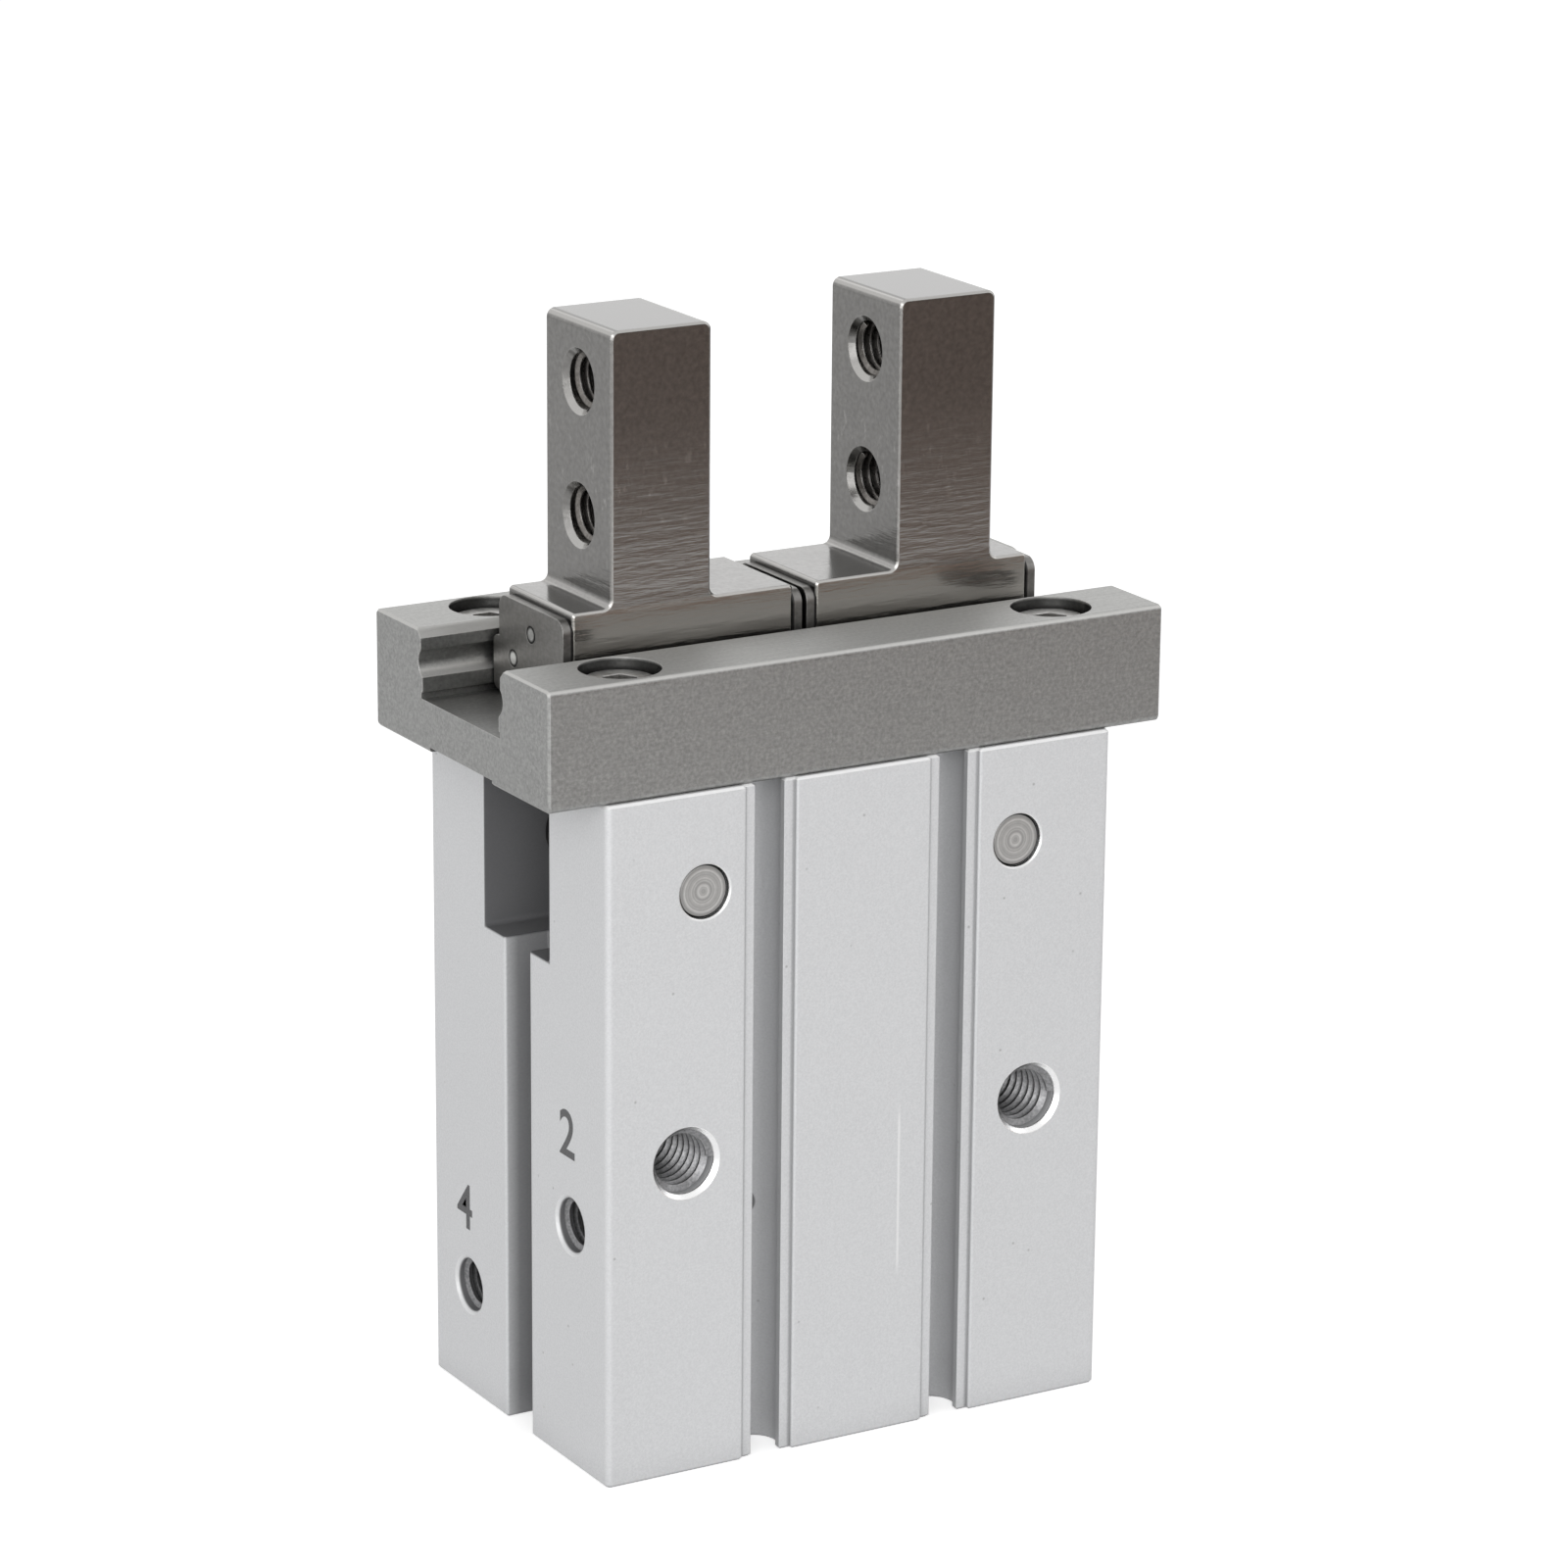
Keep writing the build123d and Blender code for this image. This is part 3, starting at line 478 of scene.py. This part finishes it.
tapped, tree, shader, place = new_material("tapped_aluminium")
tool_marks = use_group(tree, grain, Vector=place, Scale=4000.0)["Mask"]
hollow = use_group(tree, hollows, Depth=0.003, Low=0.6, High=0.08)["Mask"]
grey = shade(tree, hollow, shade(tree, tool_marks, cut_dark, cut_light), cut_shade)
set_finish(tree, shader, grey, metallic=0.8, roughness=0.35)
set_relief(tree, shader, tool_marks, 0.3, distance=0.00002)
for name, mouth, inward, hole in thread_places:
    ridge = cut_thread(name, mouth=mouth, inward=inward, **hole)
    ridge.data.materials.append(tapped)
    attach(ridge, "housing")

# Port numbers: a plain figure beside each air port, burnt dark into the anodising by a laser.
# Each figure stands only 0.01 mm proud of the end face, which is enough for it to show.
port_numbers = {
    "port_number_upper": ("2", -0.0094, 0.0312),
    "port_number_lower": ("4", 0.0106, 0.0179),
}
number_height = 0.0043
capital_share = 0.7
stroke_extra = 0.00007
number_depth = 0.0001
number_proud = 0.00001
soot_dark = (0.07, 0.07, 0.072)
soot_light = (0.15, 0.15, 0.155)
marking, tree, shader, place = new_material("laser_marking")
soot = use_group(tree, grain, Vector=place, Scale=6000.0, Low=0.25, High=0.75)["Mask"]
set_finish(tree, shader, shade(tree, soot, soot_dark, soot_light), metallic=0.0, roughness=0.7)
for name, (figure, y, z) in port_numbers.items():
    bpy.ops.object.select_all(action="DESELECT")
    bpy.ops.object.text_add(location=(0, 0, 0))
    number = bpy.context.object
    number.name = name
    number.data.body = figure
    number.data.align_x = "CENTER"
    number.data.align_y = "CENTER"
    number.data.size = number_height / capital_share
    number.data.offset = stroke_extra
    number.data.extrude = number_depth / 2
    bpy.ops.object.convert(target="MESH")
    bpy.ops.object.mode_set(mode="EDIT")
    bpy.ops.mesh.select_all(action="SELECT")
    bpy.ops.mesh.remove_doubles(threshold=merge_distance)
    bpy.ops.mesh.normals_make_consistent(inside=False)
    bpy.ops.object.mode_set(mode="OBJECT")
    number.rotation_euler = (pi / 2, 0, -pi / 2)
    number.location = (-body_end - number_proud + number_depth / 2, y, z)
    bpy.ops.object.transform_apply(location=True, rotation=True, scale=True)
    number.data.materials.clear()
    number.data.materials.append(marking)
    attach(number, "housing")

# Guide rail: one stainless block, ground on all faces and left satin, with the marks of the
# wheel running along its length and a coarser top, which is also painted lighter as a painted
# highlight. It seats on the body under four socket head screws, in counterbores that carry
# painted shade.
guide_dark = (0.250, 0.251, 0.246)
guide_light = (0.386, 0.387, 0.379)
guide_highlight = (0.55, 0.545, 0.53)
steel_shade = (0.02, 0.02, 0.02)
guide_top = 0.0745
counterbore_place = (0.0222, 0.0122)
counterbore_wall = 0.00374
counterbore_shaded = 0.0003
top_skin = 0.00005
top_highlight_share = 0.35
top_coarser = 0.2


def steel(
    name, dark, light, highlight, roughness, mottle_scale, marks=(1.0, 1.0, 1.0), marks_scale=3000.0,
    relief=0.3, deepest=0.5, slants=0.0,
):
    """A steel finish: a mottled grey, tool marks one way, painted highlights on the edges and
    painted shade in the hollows.
    """
    material, tree, shader, place = new_material(name)
    mottle = use_group(tree, grain, Vector=place, Scale=mottle_scale)["Mask"]
    lines = use_group(tree, grain, Vector=place, Stretch=marks, Scale=marks_scale)["Mask"]
    edge = use_group(tree, edge_highlights, Slants=slants)
    hollow = use_group(tree, hollows)["Mask"]
    grey = shade(tree, mottle, dark, light)
    grey = shade(tree, times(tree, lines, 0.35), grey, dark)
    grey = shade(tree, edge["Mask"], grey, highlight)
    grey = shade(tree, times(tree, hollow, deepest), grey, steel_shade)
    set_finish(tree, shader, grey, metallic=1.0, roughness=roughness)
    set_relief(tree, shader, lines, relief, normal=edge["Normal"])
    tree.links.new(
        level(tree, lines, roughness - 0.05, roughness + 0.05), shader.inputs["Roughness"]
    )
    return material


def reopen(material):
    """The node tree, shader and axes of a finish, for one more mask to go over it."""
    tree = material.node_tree
    coords = add_node(tree, "ShaderNodeTexCoord")
    return tree, tree.nodes["Principled BSDF"], separate(tree, coords.outputs["Object"])


def lay_over(tree, shader, mask, colour):
    """Lays one more colour over those that already feed the shader."""
    under = shader.inputs["Base Color"].links[0].from_socket
    tree.links.new(shade(tree, mask, under, colour), shader.inputs["Base Color"])


guide_steel = steel(
    "ground_stainless", guide_dark, guide_light, guide_highlight, roughness=0.38, mottle_scale=2900.0,
    marks=(0.05, 1.0, 1.0), marks_scale=5200.0, relief=0.35, deepest=0.95, slants=0.8,
)
tree, shader, axes = reopen(guide_steel)
from_screw = from_centre(
    tree, away(tree, axes["X"]), away(tree, axes["Y"]), counterbore_place
)
in_counterbore = times(
    tree, below(tree, from_screw, counterbore_wall, wall_blur),
    below(tree, axes["Z"], guide_top - counterbore_shaded, 0.0002),
)
# Painted highlight over the top face, and painted shade in the counterbores.
on_top = above(tree, axes["Z"], guide_top - top_skin, 0.00015)
lay_over(tree, shader, times(tree, on_top, top_highlight_share), guide_highlight)
lay_over(tree, shader, times(tree, in_counterbore, 0.8), steel_shade)
satin = shader.inputs["Roughness"].links[0].from_socket
coarser = maths(tree, "ADD", satin, times(tree, on_top, top_coarser))
tree.links.new(coarser, shader.inputs["Roughness"])
dress(guide_steel, "guide")

# Guide screws: M4 socket head cap screws in bright steel, sunk in counterbores. The piston's
# screw is of the same steel.
screw_steel = steel(
    "screw_steel", (0.58, 0.57, 0.55), (0.76, 0.75, 0.73), (0.90, 0.90, 0.89), roughness=0.35,
    mottle_scale=1500.0,
)
dress(screw_steel, "guide_screws", "piston_screw")

# Lever shafts: hardened pins pressed through the body, their ends faced on a lathe, which
# leaves fine rings about each centre, with a dark gap round them. The washers, the dowels
# beside the guide screws and the drive pin are finished alike.
shaft_gap_dark = 0.92
shaft_gap_start = 0.00235
turning, group_in, group_out = new_group(
    "turning",
    [("Radius", "NodeSocketFloat", 0.0), ("Scale", "NodeSocketFloat", 3000.0)],
    [("Mask", "NodeSocketFloat")],
)
ring_place = add_node(turning, "ShaderNodeCombineXYZ", {"X": group_in["Radius"]})
ring_noise = add_node(turning, "ShaderNodeTexNoise", {
    "Vector": ring_place.outputs["Vector"], "Scale": group_in["Scale"], "Detail": 2.0,
})
turning.links.new(ramp(turning, ring_noise.outputs["Fac"], 0.35, 0.65), group_out["Mask"])


def turned(name, dark, light, roughness, scale, relief, centre=None):
    """A finish cut on a lathe: rings about the gripper's upright axis, or about a shaft."""
    material, tree, shader, place = new_material(name)
    axes = separate(tree, place)
    if centre is None:
        from_axis = from_centre(tree, axes["X"], axes["Y"], (0.0, 0.0))
    else:
        from_axis = from_centre(tree, away(tree, axes["X"]), axes["Z"], centre)
    rings = use_group(tree, turning, Radius=from_axis, Scale=scale)["Mask"]
    mottle = use_group(tree, grain, Vector=place, Scale=1800.0)["Mask"]
    edge = use_group(tree, edge_highlights)
    grey = shade(tree, rings, dark, light)
    grey = shade(tree, times(tree, mottle, 0.3), grey, dark)
    if centre is not None:
        gap = above(tree, from_axis, shaft_gap_start, 0.00012)
        grey = shade(tree, times(tree, gap, shaft_gap_dark), grey, steel_shade)
    set_finish(tree, shader, grey, metallic=1.0, roughness=roughness)
    set_relief(tree, shader, rings, relief, normal=edge["Normal"])
    return material


pin_steel = turned(
    "pin_steel", (0.30, 0.297, 0.292), (0.64, 0.635, 0.625), roughness=0.3, scale=3000.0,
    relief=0.6, centre=shaft_place,
)
dress(pin_steel, "lever_shaft_left", "lever_shaft_right")
dress(pin_steel, "lever_washers", "dowel_pins", "drive_pin")

# Levers: a forged and ground steel bell crank on each shaft, which turns the rod's stroke into
# the fingers' travel. They are seen dark in the windows of the end faces.
lever_steel = steel(
    "lever_steel", (0.07, 0.07, 0.07), (0.12, 0.118, 0.115), (0.40, 0.40, 0.39), roughness=0.4,
    mottle_scale=1500.0, marks=(1.0, 1.0, 0.2), relief=0.4, deepest=0.6,
)
dress(lever_steel, "lever_left", "lever_right")

# Inside the cylinder: a bright steel rod in a bronze bush, turned aluminium piston and end
# cap, an open spring circlip, a dark bonded magnet, rubber seals and urethane buffers.
rod_steel = turned(
    "rod_steel", (0.42, 0.42, 0.42), (0.55, 0.55, 0.55), roughness=0.18, scale=5000.0, relief=0.2,
)
bronze = turned(
    "bronze_bush", (0.33, 0.21, 0.09), (0.45, 0.30, 0.14), roughness=0.35, scale=4000.0,
    relief=0.3,
)
piston_metal = turned(
    "piston_aluminium", (0.50, 0.50, 0.51), (0.66, 0.66, 0.67), roughness=0.3, scale=3200.0,
    relief=0.5,
)
cap_metal = turned(
    "cap_aluminium", (0.42, 0.42, 0.43), (0.58, 0.58, 0.59), roughness=0.32, scale=2600.0,
    relief=0.6,
)
spring_steel = steel(
    "spring_steel", (0.10, 0.10, 0.105), (0.18, 0.18, 0.185), (0.45, 0.45, 0.45),
    roughness=0.35, mottle_scale=1200.0,
)
dress(rod_steel, "piston_rod")
dress(bronze, "rod_bush")
dress(piston_metal, "piston")
dress(cap_metal, "head_cap")
dress(spring_steel, "retaining_ring")


def moulded(name, dark, light, roughness, scale):
    """Rubber, urethane or bonded magnet: a dull moulded surface with a fine speckle."""
    material, tree, shader, place = new_material(name)
    speckle = use_group(tree, grain, Vector=place, Scale=scale)["Mask"]
    bloom = use_group(tree, grain, Vector=place, Scale=scale / 8, Low=0.4, High=0.6)["Mask"]
    colour = shade(tree, times(tree, bloom, 0.5), shade(tree, speckle, dark, light), dark)
    set_finish(tree, shader, colour, metallic=0.0, roughness=roughness)
    set_relief(tree, shader, speckle, 0.3)
    return material


rubber = moulded(
    "seal_rubber", (0.012, 0.012, 0.012), (0.03, 0.03, 0.03), roughness=0.55, scale=4000.0,
)
urethane = moulded(
    "buffer_urethane", (0.50, 0.33, 0.09), (0.60, 0.42, 0.14), roughness=0.4, scale=1500.0,
)
magnet = moulded(
    "bonded_magnet", (0.035, 0.035, 0.038), (0.07, 0.07, 0.072), roughness=0.5, scale=3000.0,
)
dress(rubber, "piston_seal", "rod_seal", "cap_gasket")
dress(urethane, "rod_buffer", "head_buffer")
dress(magnet, "piston_magnet")

# Fingers: milled from stainless bar, a little browner than the rail, with fine waves low on
# the post where the cutter passed, a few painted glints among them and a darker top. The post's
# fronts and backs are painted lighter low down as painted light, the foot's fronts and backs
# carry a painted reflection, and the edges carry painted highlights.
finger_dark = (0.180, 0.176, 0.170)
finger_light = (0.245, 0.241, 0.233)
finger_highlight = (0.50, 0.49, 0.475)
finger_tip = (0.15, 0.147, 0.142)
finger_low_painted_light = (0.37, 0.36, 0.345)
finger_foot_painted_reflection = (0.42, 0.405, 0.38)
finger_top = 0.1026
finger_side = 0.00595
wave_low = 0.0800
wave_high = 0.0945
glint_height = 0.0885
foot_top = 0.0782
finger_steel, tree, shader, place = new_material("finger_stainless")
mottle = use_group(tree, grain, Vector=place, Scale=2200.0)["Mask"]
waves = use_group(tree, grain, Vector=place, Stretch=(0.12, 0.12, 1.0), Scale=1500.0)["Mask"]
glints = use_group(
    tree, grain, Vector=place, Stretch=(1.0, 1.0, 0.5), Scale=1300.0, Low=0.60, High=0.70
)["Mask"]
edge = use_group(tree, edge_highlights, Slants=0.8)
hollow = use_group(tree, hollows)["Mask"]
axes = separate(tree, place)
height = axes["Z"]
low_down = ramp(tree, height, wave_high, wave_low)
waved = times(tree, waves, low_down)
on_side = above(tree, away(tree, axes["Y"]), finger_side)
beside_foot = times(tree, on_side, ramp(tree, height, foot_top, foot_top - 0.0004))
glinting = times(
    tree, glints, ramp(tree, height, wave_low, glint_height),
    ramp(tree, height, wave_high + 0.001, glint_height),
)
grey = shade(tree, mottle, finger_dark, finger_light)
grey = shade(tree, times(tree, waved, 0.45), grey, finger_dark)
grey = shade(tree, above(tree, height, finger_top, 0.0003), grey, finger_tip)
# Painted light low on the post's fronts and backs, and a painted reflection on the foot's.
grey = shade(tree, times(tree, on_side, low_down, 0.6), grey, finger_low_painted_light)
grey = shade(tree, beside_foot, grey, finger_foot_painted_reflection)
# Painted glints and painted edge highlights, then painted shade in the hollows.
grey = shade(tree, times(tree, glinting, 0.35), grey, finger_highlight)
grey = shade(tree, edge["Mask"], grey, finger_highlight)
grey = shade(tree, times(tree, hollow, 0.4), grey, steel_shade)
set_finish(tree, shader, grey, metallic=1.0, roughness=0.2)
set_relief(tree, shader, waved, 0.5, distance=0.00003, normal=edge["Normal"])
dress(finger_steel, "finger_left", "finger_right")

# End plates: thin stainless plates riveted over both ends of each foot and ground across
# their width. The joint between plate and foot shows as a dark line.
foot_start = 0.0012
foot_end = 0.0235
seam_gap = 0.00014
seam_blur = 0.00006
inner_reach = 0.002
outer_reach = 0.021
plate_steel = steel(
    "plate_stainless", (0.18, 0.175, 0.167), (0.25, 0.244, 0.235), (0.40, 0.395, 0.38),
    roughness=0.36, mottle_scale=2400.0, marks=(1.0, 0.08, 1.0), marks_scale=5000.0, relief=0.4,
    deepest=0.7,
)
tree, shader, axes = reopen(plate_steel)
along = away(tree, axes["X"])
inner_seam = times(
    tree, above(tree, along, foot_start - seam_gap, seam_blur),
    below(tree, along, inner_reach, 0.001),
)
outer_seam = times(
    tree, below(tree, along, foot_end + seam_gap, seam_blur),
    above(tree, along, outer_reach, 0.001),
)
lay_over(tree, shader, times(tree, either(tree, inner_seam, outer_seam), 0.9), steel_shade)
for side in ("left", "right"):
    dress(plate_steel, f"end_plate_{side}_inner", f"end_plate_{side}_outer")

# Plate rivets: three to a plate, their heads ground flush, each bright in the middle and
# outlined by the dark gap round it.
middle_rivet = (0.0, 0.0749)
side_rivet = (0.00335, 0.0720)
rivet_gap = (0.00045, 0.00065)
rivet_dark = (0.50, 0.50, 0.49)
rivet_light = (0.66, 0.66, 0.65)
rivet_steel, tree, shader, place = new_material("rivet_steel")
speckle = use_group(tree, grain, Vector=place, Scale=4000.0)["Mask"]
axes = separate(tree, place)
across = away(tree, axes["Y"])
from_rivet = maths(
    tree, "MINIMUM", from_centre(tree, across, axes["Z"], middle_rivet),
    from_centre(tree, across, axes["Z"], side_rivet),
)
grey = shade(tree, speckle, rivet_dark, rivet_light)
grey = shade(tree, ramp(tree, from_rivet, *rivet_gap), grey, steel_shade)
set_finish(tree, shader, grey, metallic=1.0, roughness=0.28)
set_relief(tree, shader, speckle, 0.3)
dress(rivet_steel, "plate_rivets_left", "plate_rivets_right")

# Balls: two rows to a finger in hard polished steel, seen between the foot and the rail.
ball_steel = steel(
    "ball_steel", (0.50, 0.50, 0.505), (0.58, 0.58, 0.585), (0.60, 0.60, 0.60), roughness=0.12,
    mottle_scale=2000.0, relief=0.05,
)
dress(ball_steel, "balls_left", "balls_right")

# Screw threads in the fingers: two M5 holes right through each post, tapped in the steel,
# where the user bolts the gripping jaws on.
finger_hole = dict(radius=0.0025, pitch=0.0008, start=0.0006, end=0.0094)
finger_hole_heights = {"upper": 0.0972, "lower": 0.0852}
post_outer = 0.01965
tapped_steel = steel(
    "tapped_steel", (0.15, 0.14, 0.13), (0.28, 0.265, 0.25), (0.45, 0.45, 0.44), roughness=0.3,
    mottle_scale=2500.0, marks_scale=4000.0, deepest=0.7,
)
for side, facing in (("left", -1), ("right", 1)):
    for row, hole_height in finger_hole_heights.items():
        ridge = cut_thread(
            f"finger_thread_{side}_{row}", mouth=(facing * post_outer, 0, hole_height),
            inward=(-facing, 0, 0), **finger_hole,
        )
        ridge.data.materials.append(tapped_steel)
        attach(ridge, f"{side}_finger")

# Photographer's table: a pale board, lit so evenly that only a faint shadow of the part
# shows on it. It is not part of the gripper.
table_size = 6.0
table_colour = (0.85, 0.85, 0.85)
table_glow = 0.55
table_glow_in_metal = 0.3
bpy.ops.object.select_all(action="DESELECT")
bpy.ops.mesh.primitive_plane_add(size=table_size, location=(0, 0, 0))
floor = bpy.context.object
floor.name = "floor"
board, tree, shader, _ = new_material("white_board")
shader.inputs["Base Color"].default_value = (*table_colour, 1)
shader.inputs["Roughness"].default_value = 0.9
shader.inputs["Specular IOR Level"].default_value = 0.0


def seen_as(tree, straight, in_metal):
    """One level for what the camera sees straight, one for what it sees in metal or glass."""
    rays = add_node(tree, "ShaderNodeLightPath").outputs
    mirrored = either(tree, rays["Is Glossy Ray"], rays["Is Transmission Ray"])
    return either(
        tree, times(tree, rays["Is Camera Ray"], straight), times(tree, mirrored, in_metal)
    )


glow = add_node(
    tree, "ShaderNodeEmission", {"Strength": seen_as(tree, table_glow, table_glow_in_metal)}
)
lit = add_node(
    tree, "ShaderNodeAddShader", {0: shader.outputs["BSDF"], 1: glow.outputs["Emission"]}
)
tree.links.new(lit.outputs["Shader"], tree.nodes["Material Output"].inputs["Surface"])
floor.data.materials.append(board)

# Dark card at the right front, out of the picture: polished steel mirrors it, which is why the
# upper fronts of the fingers look brown and dark. Only reflections show it.
card_colour = (0.42, 0.31, 0.26)
card_place = (0.177, -0.234, 0.047)
card_size = (0.36, 0.09)
card_turn = radians(30)
bpy.ops.object.select_all(action="DESELECT")
bpy.ops.mesh.primitive_plane_add(size=1.0, location=card_place, rotation=(pi / 2, 0, card_turn))
card = bpy.context.object
card.name = "dark_card"
card.scale = (*card_size, 1)
bpy.ops.object.transform_apply(location=True, rotation=True, scale=True)
card_paper, _, shader, _ = new_material("dark_card")
shader.inputs["Base Color"].default_value = (*card_colour, 1)
shader.inputs["Roughness"].default_value = 0.9
card.data.materials.append(card_paper)
card.visible_camera = False
card.visible_diffuse = False
card.visible_shadow = False
card.visible_transmission = False

# Studio: an even pale surround and three soft lamps, a strong one from the left front, a weak
# one from the right and another behind that lights the tops of the steel pieces.
surround_light = 0.5
backdrop_white = 1.0
target = Vector((0, 0, 0.05))
world = bpy.data.worlds.new("studio")
bpy.context.scene.world = world
world.use_nodes = True
tree = world.node_tree
backdrop = tree.nodes["Background"]
backdrop.inputs["Color"].default_value = (1, 1, 1, 1)
surround = either(tree, seen_as(tree, backdrop_white, backdrop_white), surround_light)
tree.links.new(surround, backdrop.inputs["Strength"])


def add_lamp(name, direction, distance, size, power):
    """An area lamp that looks at the middle of the part and that no camera sees."""
    data = bpy.data.lights.new(name, "AREA")
    data.shape = "SQUARE"
    data.size = size
    data.energy = power
    lamp = bpy.data.objects.new(name, data)
    bpy.context.scene.collection.objects.link(lamp)
    towards_lamp = Vector(direction).normalized()
    lamp.location = target + towards_lamp * distance
    lamp.rotation_euler = towards_lamp.to_track_quat("Z", "Y").to_euler()
    lamp.visible_camera = False


add_lamp("key_lamp", (-0.56, -0.70, 0.32), distance=0.7, size=0.6, power=2.75)
add_lamp("fill_lamp", (0.80, -0.35, 0.35), distance=0.8, size=0.6, power=0.6)
add_lamp("back_lamp", (0.40, 0.80, 0.50), distance=0.8, size=0.7, power=0.6)

# Camera: a long lens from the left front and a little above, as in the photograph.
camera_azimuth = radians(-30.335)
camera_elevation = radians(17.074)
camera_roll = radians(0.455)
camera_distance = 0.52229
focal_pixels = 5825.3
frame_pixels = 1600
shift_pixels = (-16.0, 83.4)
sensor_width = 36.0
camera_data = bpy.data.cameras.new("camera")
camera = bpy.data.objects.new("camera", camera_data)
bpy.context.scene.collection.objects.link(camera)
back = Vector((
    sin(camera_azimuth) * cos(camera_elevation),
    -cos(camera_azimuth) * cos(camera_elevation),
    sin(camera_elevation),
))
level_right = (-back).cross(Vector((0, 0, 1))).normalized()
level_up = level_right.cross(-back)
right = cos(camera_roll) * level_right + sin(camera_roll) * level_up
up = cos(camera_roll) * level_up - sin(camera_roll) * level_right
turn = Matrix((right, up, back)).transposed().to_4x4()
camera.matrix_world = Matrix.Translation(target + back * camera_distance) @ turn
camera_data.sensor_width = sensor_width
camera_data.lens = focal_pixels / frame_pixels * sensor_width
camera_data.shift_x = -shift_pixels[0] / frame_pixels
camera_data.shift_y = shift_pixels[1] / frame_pixels
camera_data.clip_start = 0.01
camera_data.clip_end = 20.0
bpy.context.scene.camera = camera
bpy.context.scene.view_settings.view_transform = "Standard"
